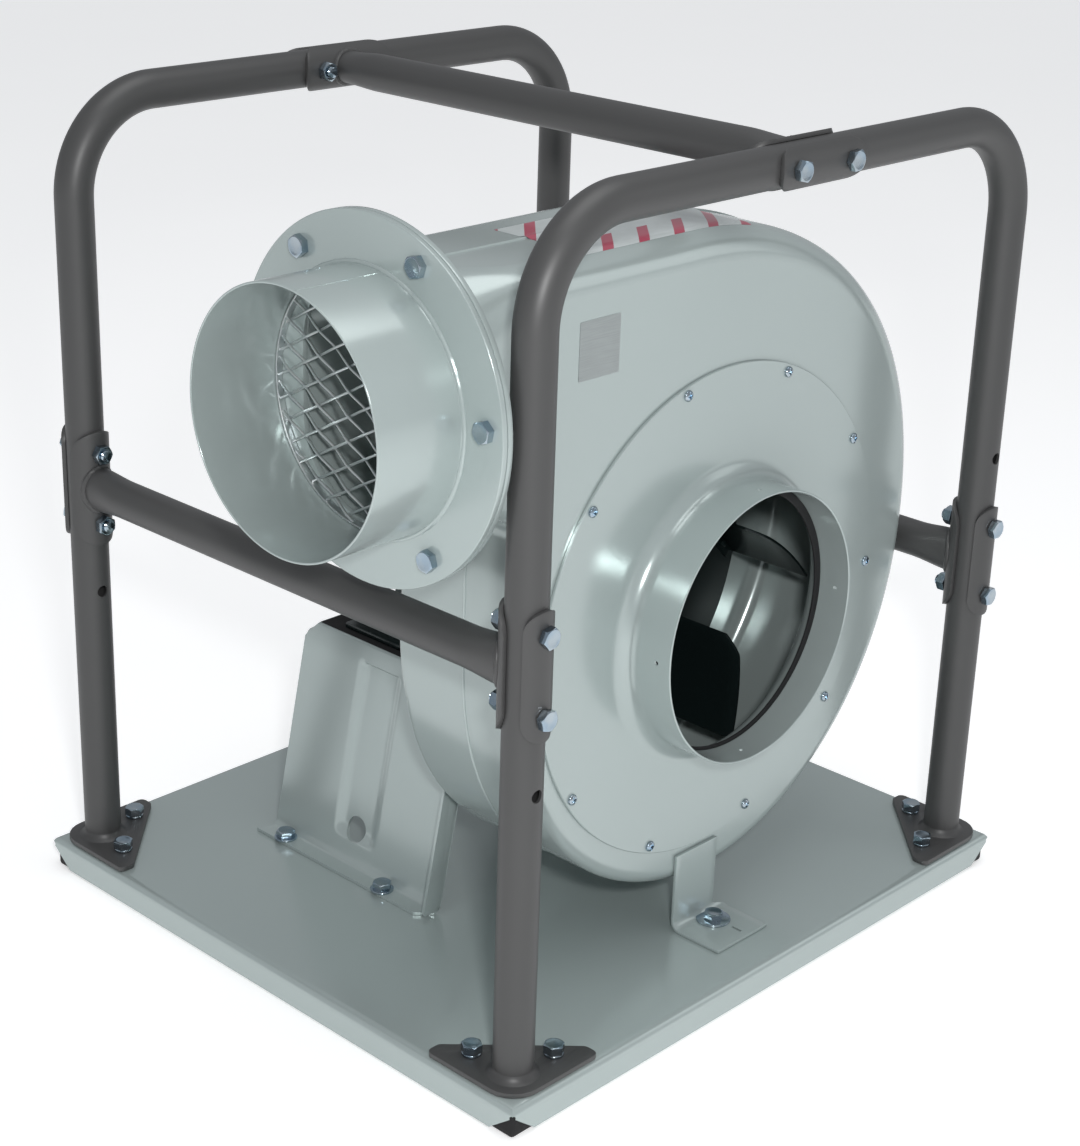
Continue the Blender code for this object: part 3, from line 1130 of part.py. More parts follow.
def build_bracket():
    """Bent bracket between the tray and the front of the casing."""
    floor = BASE_TOP + FIT
    back = CASING_FRONT - FIT
    bottom = SHAFT_HEIGHT - scroll_radius(-math.pi / 2)
    top = bottom + edge_radius((0, SHAFT_HEIGHT - bottom)) + BRACKET_LAP
    corners = [(back - BRACKET_FOOT, floor, 0), (back, floor, BRACKET_BEND), (back, top, 0),
               (back - BRACKET_SHEET, top, 0), (back - BRACKET_SHEET, floor + BRACKET_SHEET, BRACKET_BEND / 3),
               (back - BRACKET_FOOT, floor + BRACKET_SHEET, 0)]
    profile = []
    for index, (y, z, radius) in enumerate(corners):
        if radius == 0:
            profile.append((y, z))
            continue
        way = 1 if index == 1 else -1
        middle = (y - way * radius, z + way * radius) if index == 1 else (y - radius, z + radius)
        start = -math.pi / 2 if index == 1 else 0
        profile += arc(middle, radius, start, start + way * math.pi / 2, 3)
    rings = [[(x, y, z) for y, z in profile] for x in (BRACKET_LEFT, BRACKET_RIGHT)]
    bracket = place(finish(loft("foot_bracket", [rings]), PAINT_GREY))
    shoulder = floor + BRACKET_SHOULDER
    for name, near, far in (("left", BRACKET_LEFT - OVERRUN, BRACKET_TAB_LEFT),
                            ("right", BRACKET_TAB_RIGHT, BRACKET_RIGHT + OVERRUN)):
        trim = box(f"foot_bracket_{name}_trim", (near, back - BRACKET_SHEET - OVERRUN, shoulder),
                   (far, back + OVERRUN, top + OVERRUN))
        combine(bracket, place(trim), "DIFFERENCE")


clear_scene()
PARTS = new_collection("centrifugal_fan")
CUTTERS = new_collection("cutters")
ORIGIN = new_empty("fan_origin", (ORIGIN_SHIFT, 0, 0))
PAINT_GREY = new_material("grey_green_paint", (0.40, 0.46, 0.45), 0.3, 0)
PAINT_DARK = new_material("dark_grey_paint", (0.075, 0.073, 0.073), 0.35, 0)
ZINC = new_material("zinc_plated_steel", (0.62, 0.66, 0.68), 0.3, 1)
RUBBER = new_material("black_rubber", (0.02, 0.02, 0.02), 0.7, 0)
WHEEL_PAINT = new_material("dark_wheel_paint", (0.012, 0.020, 0.018), 0.3, 0)
MOTOR_PAINT = new_material("motor_paint", (0.05, 0.07, 0.065), 0.45, 0)
STEEL = new_material("bare_steel", (0.5, 0.5, 0.5), 0.35, 1)
BLACK_PLASTIC = new_material("black_plastic", (0.03, 0.03, 0.03), 0.5, 0)

build_base()
build_hoop("front_hoop", -1)
build_hoop("rear_hoop", 1)
build_crossbar("left_crossbar", -HOOP_HALF_SPAN, HIGH_BAR_HEIGHT, False)
build_crossbar("right_crossbar", HOOP_HALF_SPAN, LOW_BAR_HEIGHT, False)
build_crossbar("top_crossbar", 0, HOOP_TOP, True)
build_casing()
build_outlet()
build_inlet()
ROTOR_AXIS = new_empty("rotor_axis", (0, 0, SHAFT_HEIGHT), ORIGIN)
build_impeller(ROTOR_AXIS)
build_motor(ROTOR_AXIS)
build_pedestal()
build_bracket()
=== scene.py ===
"""Looks of a portable centrifugal fan: fine shapes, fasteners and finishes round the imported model.

Lengths are metres and +Z is up. The shaft lies along Y with the inlet towards -Y, and the outlet
points towards -X. Each sub-assembly is a class whose fields are its sizes, and main() builds them.
"""

import logging
import math
import random
from dataclasses import dataclass
from enum import Enum
from typing import Callable, Iterable, Sequence

import bmesh
import bpy
from mathutils import Matrix, Vector


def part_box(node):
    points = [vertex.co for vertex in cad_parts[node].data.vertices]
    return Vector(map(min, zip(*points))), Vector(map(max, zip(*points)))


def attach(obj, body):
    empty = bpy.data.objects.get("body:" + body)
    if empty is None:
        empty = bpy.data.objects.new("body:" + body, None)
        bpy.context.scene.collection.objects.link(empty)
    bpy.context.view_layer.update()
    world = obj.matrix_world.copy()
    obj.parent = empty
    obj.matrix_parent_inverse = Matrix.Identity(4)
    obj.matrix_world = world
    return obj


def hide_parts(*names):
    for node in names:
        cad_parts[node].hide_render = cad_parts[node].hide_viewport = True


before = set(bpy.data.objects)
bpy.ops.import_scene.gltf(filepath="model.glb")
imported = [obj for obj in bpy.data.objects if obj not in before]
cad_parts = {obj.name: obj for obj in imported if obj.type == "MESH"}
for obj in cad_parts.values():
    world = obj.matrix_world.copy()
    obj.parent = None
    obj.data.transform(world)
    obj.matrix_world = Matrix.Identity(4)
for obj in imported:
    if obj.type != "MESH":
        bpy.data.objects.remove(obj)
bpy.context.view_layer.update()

LOG = logging.getLogger("fan")

MERGE = 0.00001
SHARP = 35.0
MILLI = 0.001
UP, BACK, FRONT = Vector((0, 0, 1)), Vector((0, 1, 0)), Vector((0, -1, 0))
STAND = Matrix.Rotation(math.pi / 2, 4, "X")

Pair = tuple[float, float]
Triple = tuple[float, float, float]
Outline = list[Pair]
Piece = bpy.types.Object
Node = bpy.types.Node
Socket = bpy.types.NodeSocket


class Body(Enum):
    """The two rigid bodies of the fan."""

    ROOT = "root"
    ROTOR = "rotor"


def middle_of(node: str) -> Vector:
    """Return the middle of a node's box."""
    low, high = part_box(node)
    return (low + high) / 2


SHAFT = Vector((middle_of("inlet_cover").x, 0.0, middle_of("inlet_cover").z))
TRAY_MIDDLE = middle_of("base_tray").x
TRAY_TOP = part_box("base_tray")[1].z


def circle(radius: float, count: int, start: float = 0.0, centre: Pair = (0.0, 0.0)) -> Outline:
    """Place a count of points on a circle, counter-clockwise from an angle."""
    angles = (start + 2 * math.pi * index / count for index in range(count))
    return [(centre[0] + radius * math.cos(a), centre[1] + radius * math.sin(a)) for a in angles]


def arc(centre: Pair, radius: float, start: float, end: float, steps: int) -> Outline:
    """Place points along an arc of as many chords as steps, from one angle to another."""
    angles = (start + (end - start) * index / steps for index in range(steps + 1))
    return [(centre[0] + radius * math.cos(a), centre[1] + radius * math.sin(a)) for a in angles]


def rounded(corners: Sequence[Triple], steps: int = 6, loop: bool = True) -> Outline:
    """Round the corners of a line or polygon.

    Args:
        corners: Corners as (x, y, radius).
        steps: Chords of each rounded corner.
        loop: Whether the line closes; an open one keeps its two ends.

    Returns:
        Its points.
    """
    points: Outline = []
    count = len(corners)
    for index, (x, y, radius) in enumerate(corners):
        if radius <= 0 or (not loop and index in (0, count - 1)):
            points.append((x, y))
            continue
        here = Vector((x, y))
        before = (Vector(corners[index - 1][:2]) - here).normalized()
        after = (Vector(corners[(index + 1) % count][:2]) - here).normalized()
        half = before.angle(after) / 2
        middle = here + (before + after).normalized() * (radius / math.sin(half))
        first = here + before * (radius / math.tan(half)) - middle
        last = here + after * (radius / math.tan(half)) - middle
        sweep = first.angle_signed(last)
        for step in range(steps + 1):
            points.append(tuple(middle + Matrix.Rotation(-sweep * step / steps, 2) @ first))
    return points


def oblong(half_width: float, half_height: float, radius: float, steps: int) -> Outline:
    """Draw a rectangle with rounded corners about the origin."""
    ways = ((-1, -1), (1, -1), (1, 1), (-1, 1))
    return rounded([(x * half_width, y * half_height, radius) for x, y in ways], steps)


def blend_step(value: float) -> float:
    """Ease a share from 0 to 1, level at both ends."""
    share = min(max(value, 0.0), 1.0)
    return share * share * (3 - 2 * share)


def show(name: str, data: bpy.types.ID) -> Piece:
    """Put a mesh, curve, light or camera into the scene."""
    item = bpy.data.objects.new(name, data)
    bpy.context.scene.collection.objects.link(item)
    return item


def discard(*items: Piece) -> None:
    """Remove pieces that have served as tools."""
    for item in items:
        bpy.data.objects.remove(item, do_unlink=True)


def smooth(mesh: bpy.types.Mesh, sharp: float = SHARP) -> None:
    """Shade a mesh smooth, apart from edges past an angle in degrees."""
    mesh.shade_smooth()
    mesh.set_sharp_from_angle(angle=math.radians(sharp))


def solid(name: str, shape: bmesh.types.BMesh, sharp: float = SHARP) -> Piece:
    """Turn a shape into a smooth piece, whose edges past an angle in degrees stay sharp."""
    bmesh.ops.remove_doubles(shape, verts=shape.verts, dist=MERGE)
    bmesh.ops.recalc_face_normals(shape, faces=shape.faces)
    mesh = bpy.data.meshes.new(name)
    shape.to_mesh(mesh)
    shape.free()
    smooth(mesh, sharp)
    return show(name, mesh)


def skin(name: str, rows: Sequence[Sequence[Vector]], loop: bool = True, ends: bool = True,
         wrap: bool = False, sharp: float = SHARP) -> Piece:
    """Skin rows that have as many points each.

    Args:
        name: The piece's name.
        rows: The rows of points.
        loop: Whether each row closes on itself.
        ends: Whether the first and last rows are filled.
        wrap: Whether the last row joins the first.
        sharp: Angle in degrees past which an edge stays sharp.

    Returns:
        The piece.
    """
    shape = bmesh.new()
    grid = [[shape.verts.new(point) for point in row] for row in rows]
    pairs = list(zip(grid, grid[1:]))
    if wrap:
        pairs.append((grid[-1], grid[0]))
    for lower, upper in pairs:
        for index in range(len(lower) if loop else len(lower) - 1):
            after = (index + 1) % len(lower)
            shape.faces.new((lower[index], lower[after], upper[after], upper[index]))
    if ends and not wrap:
        shape.faces.new(grid[0])
        shape.faces.new(grid[-1])
    return solid(name, shape, sharp)


def basis(way: Vector) -> tuple[Vector, Vector, Vector]:
    """Return three square directions, the first along a way."""
    along = Vector(way).normalized()
    side = along.cross(UP)
    if side.length < MERGE:
        side = Vector((1, 0, 0))
    side.normalize()
    return along, side, side.cross(along)


def at_shaft(ring: Outline, y: float) -> list[Vector]:
    """Set points (x, z) round the shaft, at one distance along it."""
    return [Vector((SHAFT.x + x, y, SHAFT.z + z)) for x, z in ring]


def lathe(name: str, profile: Outline, at: Vector, way: Vector = BACK, steps: int = 128,
          closed: bool = True) -> Piece:
    """Turn a profile about an axis.

    Args:
        name: The piece's name.
        profile: Points as (radius, distance along the axis).
        at: Where the distances count from.
        way: The axis.
        steps: Sides of the turned shape.
        closed: Whether the profile closes on itself, or starts and ends on the axis.

    Returns:
        The piece.
    """
    along, side, up = basis(way)
    rows = []
    for c, s in circle(1, steps):
        rows.append([at + along * y + (side * c + up * s) * r for r, y in profile])
    return skin(name, rows, loop=closed, ends=False, wrap=True)


def sweep(name: str, path: Sequence[Vector], radius: float | Callable[[int], float], sides: int = 40,
          loop: bool = False, flat: Vector | None = None) -> Piece:
    """Sweep a round bar along a path.

    Args:
        name: The piece's name.
        path: Points of its centre line.
        radius: The bar's radius, or a function of the point's number.
        sides: Sides of the bar.
        loop: Whether the path closes on itself.
        flat: A way that is square to the whole path, where there is one.

    Returns:
        The piece.
    """
    rows = []
    count = len(path)
    normal = flat or basis(path[1] - path[0])[1]
    for index, point in enumerate(path):
        if loop:
            along = path[(index + 1) % count] - path[index - 1]
        else:
            along = path[min(index + 1, count - 1)] - path[max(index - 1, 0)]
        along = along.normalized()
        normal = (normal - along * normal.dot(along)).normalized()
        across = along.cross(normal)
        size = radius(index) if callable(radius) else radius
        rows.append([point + (normal * c + across * s) * size for c, s in circle(1, sides)])
    return skin(name, rows, ends=not loop, wrap=loop)


def block(name: str, low: Vector, high: Vector, edge: float = 0.0, segments: int = 3) -> Piece:
    """Make a box with rounded edges between two corners."""
    shape = bmesh.new()
    bmesh.ops.create_cube(shape, size=1)
    middle = (Vector(low) + Vector(high)) / 2
    size = Vector(high) - Vector(low)
    for vertex in shape.verts:
        vertex.co = middle + Vector(side * length for side, length in zip(vertex.co, size))
    if edge > 0:
        bmesh.ops.bevel(shape, geom=shape.edges, offset=edge, segments=segments, profile=0.5,
                        affect="EDGES")
    return solid(name, shape)


def rod(name: str, middle: Vector, way: Vector, radius: float, length: float,
        sides: int = 32) -> Piece:
    """Make a round rod about its middle."""
    shape = bmesh.new()
    turn = UP.rotation_difference(Vector(way)).to_matrix().to_4x4()
    bmesh.ops.create_cone(shape, cap_ends=True, segments=sides, radius1=radius, radius2=radius,
                          depth=length, matrix=Matrix.Translation(middle) @ turn)
    return solid(name, shape)


def evaluated(item: Piece) -> bpy.types.Mesh:
    """Return an object's mesh as its modifiers or its curve make it."""
    bpy.context.view_layer.update()
    return bpy.data.meshes.new_from_object(item.evaluated_get(bpy.context.evaluated_depsgraph_get()))


def bake(item: Piece) -> Piece:
    """Replace an object's mesh by its evaluated mesh, and drop its modifiers."""
    mesh = evaluated(item)
    item.modifiers.clear()
    item.data = mesh
    smooth(mesh)
    return item


def join(name: str, items: Iterable[Piece]) -> Piece:
    """Put the meshes of several objects into one, and remove them."""
    shape = bmesh.new()
    for item in items:
        shape.from_mesh(item.data)
        discard(item)
    mesh = bpy.data.meshes.new(name)
    shape.to_mesh(mesh)
    shape.free()
    smooth(mesh)
    return show(name, mesh)


def combine(item: Piece, tools: Sequence[Piece],
            operation: str = "DIFFERENCE") -> Piece:
    """Cut an object with tools, or join them to it, and remove the tools."""
    for tool in tools:
        boolean = item.modifiers.new(tool.name, "BOOLEAN")
        boolean.operation = operation
        boolean.object = tool
        boolean.solver = "EXACT"
    bake(item)
    discard(*tools)
    return item


def thicken(item: Piece, wall: float, edge: float = 0.0, inward: bool = True) -> Piece:
    """Give an open sheet its wall and soften its cut edges.

    Args:
        item: The sheet, with its faces pointing to the outside.
        wall: Thickness of the wall.
        edge: Radius of the softened edges.
        inward: Whether the wall grows away from the faces' side.

    Returns:
        The same object, as a closed body.
    """
    sheet = item.modifiers.new("wall", "SOLIDIFY")
    sheet.thickness = wall
    sheet.offset = -1 if inward else 1
    sheet.use_even_offset = True
    if edge > 0:
        soften(item, edge)
    return bake(item)


def soften(item: Piece, edge: float, segments: int = 2, angle: float = 50.0) -> None:
    """Add rounded edges to a piece's sharp corners."""
    bevel = item.modifiers.new("edges", "BEVEL")
    bevel.width = edge
    bevel.segments = segments
    bevel.limit_method = "ANGLE"
    bevel.angle_limit = math.radians(angle)


def plate(name: str, outlines: Sequence[Outline], thickness: float, matrix: Matrix,
          edge: float = 0.0004) -> Piece:
    """Cut a flat sheet in local XY, centred on its plane.

    Args:
        name: The piece's name.
        outlines: The outer line and then the holes.
        thickness: The sheet's thickness.
        matrix: Where the sheet goes.
        edge: Radius of its softened edges.

    Returns:
        The piece.
    """
    curve = bpy.data.curves.new(name, "CURVE")
    curve.dimensions = "2D"
    curve.fill_mode = "BOTH"
    curve.extrude = thickness / 2
    for outline in outlines:
        spline = curve.splines.new("POLY")
        spline.points.add(len(outline) - 1)
        for target, point in zip(spline.points, outline):
            target.co = (*point, 0, 1)
        spline.use_cyclic_u = True
    drawn = show(name, curve)
    shape = bmesh.new()
    shape.from_mesh(evaluated(drawn))
    discard(drawn)
    shape.transform(matrix)
    item = solid(name, shape)
    if edge > 0:
        soften(item, edge)
        bake(item)
    return item


def bead(name: str, path: Sequence[Vector], radius: float, seed: int) -> Piece:
    """Lay a weld bead with its ripples along a closed path."""
    source = random.Random(seed)
    wobble = [radius * source.uniform(0.88, 1.12) for _ in path]
    return sweep(name, path, lambda index: wobble[index], sides=10, loop=True)


class Field:
    """An output of a node that Python's operators work on."""

    def __init__(self, graph: "Graph", socket: Socket) -> None:
        """Keep the graph and the socket."""
        self.graph = graph
        self.socket = socket

    def math(self, operation: str, *others: "Field | float", first: float | None = None) -> "Field":
        """Add a Math node.

        Args:
            operation: The node's operation.
            others: Its other inputs.
            first: A number that goes before this field, for the reflected operators.

        Returns:
            The node's result.
        """
        values = (self, *others) if first is None else (first, self)
        kind = "ShaderNodeMath"
        return self.graph.field(kind, {"operation": operation}, dict(enumerate(values)))

    def __add__(self, other: "Field | float") -> "Field":
        """Add."""
        return self.math("ADD", other)

    __radd__ = __add__

    def __sub__(self, other: "Field | float") -> "Field":
        """Subtract."""
        return self.math("SUBTRACT", other)

    def __rsub__(self, other: float) -> "Field":
        """Subtract from a number."""
        return self.math("SUBTRACT", first=other)

    def __mul__(self, other: "Field | float") -> "Field":
        """Multiply."""
        return self.math("MULTIPLY", other)

    __rmul__ = __mul__

    def __truediv__(self, other: "Field | float") -> "Field":
        """Divide."""
        return self.math("DIVIDE", other)

    def fit(self, low: float, high: float, start: float = 0.0, end: float = 1.0) -> "Field":
        """Map a range to another with soft ends."""
        names = {"Value": self, "From Min": low, "From Max": high, "To Min": start, "To Max": end}
        return self.graph.field("ShaderNodeMapRange", {"interpolation_type": "SMOOTHSTEP"}, names)


class Graph:
    """A node tree that nodes are added to, one typed node at a time."""

    def __init__(self, tree: bpy.types.NodeTree) -> None:
        """Keep the tree."""
        self.tree = tree

    def node(self, kind: str, settings: dict | None = None, inputs: dict | None = None) -> Node:
        """Add a node.

        Args:
            kind: The node's type.
            settings: Its properties, and a ramp's stops as (place, colour) pairs.
            inputs: Values, fields or sockets by the input's name or number.

        Returns:
            The node.
        """
        node = self.tree.nodes.new(kind)
        for name, value in (settings or {}).items():
            if name == "stops":
                for element, (place, colour) in zip(node.color_ramp.elements, value):
                    element.position = place
                    element.color = colour
            else:
                setattr(node, name, value)
        self.put(node, inputs or {})
        return node

    def put(self, node: Node, inputs: dict) -> None:
        """Link a node's inputs to fields and sockets, or set them to values."""
        for name, value in inputs.items():
            if isinstance(value, Field):
                value = value.socket
            if isinstance(value, Socket):
                self.tree.links.new(value, node.inputs[name])
            else:
                node.inputs[name].default_value = value

    def field(self, kind: str, settings: dict | None = None, inputs: dict | None = None,
              output: int | str = 0) -> Field:
        """Add a node and return one of its outputs."""
        return Field(self, self.node(kind, settings, inputs).outputs[output])

    def blend(self, factor: Field | float, first: object, second: object) -> Field:
        """Mix two colours."""
        return self.field("ShaderNodeMix", {"data_type": "RGBA"}, {0: factor, 6: first, 7: second}, 2)

    def vector(self, **parts: Field | Socket) -> Field:
        """Put a vector together from some of X, Y and Z."""
        return self.field("ShaderNodeCombineXYZ", {}, parts)

    def split(self, vector: Field | Socket) -> list[Field]:
        """Return the three parts of a vector."""
        node = self.node("ShaderNodeSeparateXYZ", {}, {0: vector})
        return [Field(self, output) for output in node.outputs]

    def noise(self, at: Field, scale: float, detail: float = 2.0, roughness: float = 0.5,
              distortion: float = 0.0) -> Field:
        """Add a noise texture; the scale counts waves to a metre."""
        names = {"Vector": at, "Scale": scale, "Detail": detail, "Roughness": roughness,
                 "Distortion": distortion}
        return self.field("ShaderNodeTexNoise", {}, names)


def rgba(colour: Sequence[float], gain: float = 1.0) -> tuple[float, float, float, float]:
    """Return a colour with its alpha, made lighter or darker by a gain."""
    return (colour[0] * gain, colour[1] * gain, colour[2] * gain, 1.0)


@dataclass(frozen=True)
class Finish:
    """What a surface is made of, as a procedural material. Subclasses add their own layers."""

    name: str
    slot: str
    colour: Triple
    roughness: float

    def material(self) -> bpy.types.Material:
        """Return the file's material of the finish's name, or make it where there is none.

        The frame brings plain materials named casing_paint, frame_paint, wheel_paint, motor_paint,
        laminations and black_plastic. Finishes of these names get those flat ones, and their own
        colours and layers aren't built.
        """
        made = bpy.data.materials.get(self.name)
        if made:
            return made
        made = bpy.data.materials.new(self.name)
        made.use_nodes = True
        made.diffuse_color = rgba(self.colour)
        made.node_tree.nodes.clear()
        graph = Graph(made.node_tree)
        shader = graph.node("ShaderNodeBsdfPrincipled")
        graph.node("ShaderNodeOutputMaterial", {}, {"Surface": shader.outputs[0]})
        self.layers(graph, shader, graph.field("ShaderNodeTexCoord", output="Object"))
        return made

    def layers(self, graph: Graph, shader: Node, at: Field) -> None:
        """Set the shader's sockets."""
        raise NotImplementedError

    @staticmethod
    def bump(graph: Graph, heights: Sequence[tuple[Field, float]]) -> Field:
        """Stack bumps, each a height field and its depth in metres."""
        normal: Field | None = None
        for height, depth in heights:
            names = {"Strength": 1.0, "Distance": depth, "Height": height}
            if normal:
                names["Normal"] = normal
            normal = graph.field("ShaderNodeBump", {}, names)
        return normal


@dataclass(frozen=True)
class Paint(Finish):
    """Stoved paint on steel: a coat with orange peel, dust on what faces up, and small chips."""

    coat: float = 0.5
    peel: float = 0.00003
    dust: float = 0.10
    chips: float = 0.5
    wave: float = 0.0002
    gloss: float = 0.5
    steel: Triple = (0.32, 0.33, 0.34)
    dust_colour: Triple = (0.42, 0.40, 0.37)

    def layers(self, graph: Graph, shader: Node, at: Field) -> None:
        """Set the shader's sockets."""
        broad = graph.noise(at, 6, 3, 0.6)
        cloud = graph.noise(at, 45, 4, 0.65)
        fine = graph.noise(at, 900, 2)
        geometry = graph.node("ShaderNodeNewGeometry")
        up = graph.split(geometry.outputs["Normal"])[2].fit(0.55, 0.98)
        edge = Field(graph, geometry.outputs["Pointiness"]).fit(0.53, 0.62)
        scratch_at = graph.field("ShaderNodeMapping", {}, {"Vector": at, "Scale": (140.0, 20.0, 900.0),
                                                           "Rotation": (0.5, 0.3, 0.9)})
        scratch = graph.noise(scratch_at, 1.0, 2, 0.4).fit(0.70, 0.78) * cloud.fit(0.45, 0.62)
        chip = edge * cloud.fit(0.60, 0.66) * self.chips
        tone = graph.blend(broad.fit(0.3, 0.7), rgba(self.colour, 0.955), rgba(self.colour, 1.04))
        tone = graph.blend(scratch * 0.25, tone, rgba(self.colour, 1.25))
        dusty = up * cloud.fit(0.35, 0.75) * self.dust
        tone = graph.blend(dusty, tone, rgba(self.dust_colour))
        tone = graph.blend(chip, tone, rgba(self.steel))
        rough = self.roughness + cloud.fit(0.3, 0.7, 0, 0.06) + dusty * 0.5 + scratch * 0.1
        normal = self.bump(graph, ((broad, self.wave), (graph.noise(at, 260, 2, 0.4), self.peel),
                                   (fine, self.peel * 0.12)))
        graph.put(shader, {"Base Color": tone, "Roughness": rough, "Metallic": chip * 0.8,
                           "Specular IOR Level": self.gloss, "Coat Weight": self.coat,
                           "Coat Roughness": 0.04, "Normal": normal})


@dataclass(frozen=True)
class Plating(Finish):
    """Bright metal with a thin passivated layer: faint tints, rubbed patches and fine grain."""

    tint: Triple = (0.33, 0.42, 0.50)
    grain: float = 0.000003

    def layers(self, graph: Graph, shader: Node, at: Field) -> None:
        """Set the shader's sockets."""
        patch = graph.noise(at, 90, 2, 0.5)
        cloud = graph.noise(at, 500, 2, 0.5)
        stain = graph.noise(at, 60, 2).fit(0.55, 0.75)
        tone = graph.blend(patch.fit(0.35, 0.65), rgba(self.colour), rgba(self.tint))
        tone = graph.blend(stain * 0.25, tone, rgba(self.colour, 0.7))
        rough = self.roughness + cloud.fit(0.3, 0.7, -0.03, 0.05) + stain * 0.08
        normal = self.bump(graph, ((patch, self.grain * 3), (cloud, self.grain)))
        graph.put(shader, {"Base Color": tone, "Roughness": rough, "Metallic": 1.0,
                           "Normal": normal})


@dataclass(frozen=True)
class Moulded(Finish):
    """Rubber or plastic: a fine mould grain, greyed by handling and dust."""

    grain: float = 0.00006
    pitch: float = 1400.0
    greying: float = 0.25

    def layers(self, graph: Graph, shader: Node, at: Field) -> None:
        """Set the shader's sockets."""
        cloud = graph.noise(at, 70, 4, 0.65)
        cells = {"Vector": at, "Scale": self.pitch}
        grain = graph.field("ShaderNodeTexVoronoi", {"feature": "SMOOTH_F1"}, cells)
        tone = graph.blend(cloud.fit(0.4, 0.8) * self.greying, rgba(self.colour),
                           rgba((0.16, 0.155, 0.15)))
        rough = self.roughness + cloud.fit(0.3, 0.7, -0.06, 0.08)
        normal = self.bump(graph, ((cloud, self.grain * 2), (grain, self.grain)))
        graph.put(shader, {"Base Color": tone, "Roughness": rough, "Normal": normal})


@dataclass(frozen=True)
class Stacked(Finish):
    """Sheet laminations stacked along the shaft, with varnish between them."""

    pitch: float = 2000.0

    def layers(self, graph: Graph, shader: Node, at: Field) -> None:
        """Set the shader's sockets."""
        names = {"Vector": at, "Scale": self.pitch / 2 / math.pi, "Distortion": 0.2}
        lines = graph.field("ShaderNodeTexWave", {"bands_direction": "Y"}, names, 1)
        cloud = graph.noise(at, 90, 3)
        tone = graph.blend(lines, rgba(self.colour, 0.5), rgba(self.colour))
        tone = graph.blend(cloud.fit(0.5, 0.8) * 0.6, tone, rgba((0.10, 0.05, 0.03)))
        normal = self.bump(graph, ((lines, 0.00005), (cloud, 0.00004)))
        graph.put(shader, {"Base Color": tone, "Roughness": self.roughness + cloud * 0.1,
                           "Metallic": 0.8, "Normal": normal})


@dataclass(frozen=True)
class Foil(Finish):
    """Printed foil: a brushed silver ground, bare or with a border of slanting stripes."""

    border: float = 0.0
    stripe: float = 0.0348
    stripe_share: float = 0.3
    stripe_start: float = 0.018
    stripe_colour: Triple = (0.38, 0.05, 0.09)
    size: Pair = (0.1, 0.1)

    def layers(self, graph: Graph, shader: Node, at: Field) -> None:
        """Set the shader's sockets; the UV map counts metres from the label's corner."""
        flat = graph.field("ShaderNodeUVMap", {"uv_map": "UVMap"})
        across, along, _ = graph.split(flat)
        brushed = graph.field("ShaderNodeMapping", {}, {"Vector": at, "Scale": (60.0, 60.0, 2500.0)})
        grain = graph.noise(brushed, 1.0, 3, 0.5)
        cloud = graph.noise(at, 60, 3)
        tone = graph.blend(grain.fit(0.3, 0.7), rgba(self.colour, 0.93), rgba(self.colour, 1.05))
        metal = 0.55 if self.border == 0 else 0.0
        if self.border > 0:
            slant = ((across - along - self.stripe_start) / self.stripe).math("FRACT")
            slant = slant.math("LESS_THAN", self.stripe_share)
            rim = across.math("LESS_THAN", self.border).math(
                "MAXIMUM", across.math("GREATER_THAN", self.size[0] - self.border))
            rim = rim.math("MAXIMUM", along.math("LESS_THAN", self.border))
            rim = rim.math("MAXIMUM", along.math("GREATER_THAN", self.size[1] - self.border))
            tone = graph.blend(rim * slant, tone, rgba(self.stripe_colour))
        tone = graph.blend(cloud.fit(0.55, 0.8) * 0.15, tone, rgba(self.colour, 0.6))
        normal = self.bump(graph, ((cloud, 0.00008), (grain, 0.000008)))
        graph.put(shader, {"Base Color": tone, "Roughness": self.roughness + cloud * 0.08,
                           "Metallic": metal, "Coat Weight": 0.3, "Normal": normal})


@dataclass(frozen=True)
class Ground(Finish):
    """Pale studio floor."""

    def layers(self, graph: Graph, shader: Node, at: Field) -> None:
        """Set the shader's sockets."""
        cloud = graph.noise(at, 3, 4, 0.6)
        tone = graph.blend(cloud, rgba(self.colour, 0.985), rgba(self.colour))
        normal = self.bump(graph, ((graph.noise(at, 300, 3), 0.00005),))
        graph.put(shader, {"Base Color": tone, "Roughness": self.roughness, "Normal": normal,
                           "Emission Color": tone, "Emission Strength": 0.50})


CASING_PAINT = Paint("casing_paint", "casing_paint", (0.395, 0.475, 0.470), 0.30, coat=0.7)
FRAME_PAINT = Paint("frame_paint", "frame_paint", (0.026, 0.0255, 0.0255), 0.34, coat=0.2, dust=0.03,
                    peel=0.00002, wave=0.00005, gloss=0.22)
WHEEL_PAINT = Paint("wheel_paint", "wheel_paint", (0.006, 0.010, 0.010), 0.50, coat=0.08, dust=0.02)
MOTOR_PAINT = Paint("motor_paint", "motor_paint", (0.050, 0.070, 0.066), 0.42, coat=0.1, dust=0.2,
                    peel=0.00012)
ZINC = Plating("zinc_plating", "zinc", (0.42, 0.48, 0.52), 0.15)
STEEL = Plating("ground_steel", "steel", (0.52, 0.51, 0.50), 0.30, tint=(0.46, 0.46, 0.47))
LAMINATIONS = Stacked("laminations", "laminations", (0.35, 0.34, 0.33), 0.45)
WIRE = Plating("galvanised_wire", "zinc", (0.66, 0.68, 0.68), 0.42, tint=(0.60, 0.63, 0.64))
RUBBER = Moulded("black_rubber", "rubber", (0.005, 0.005, 0.006), 0.80, greying=0.06)
PLASTIC = Moulded("black_plastic", "black_plastic", (0.028, 0.028, 0.029), 0.45, grain=0.00003)
PLAIN_FOIL = Foil("plain_foil", "zinc", (0.32, 0.35, 0.35), 0.34)
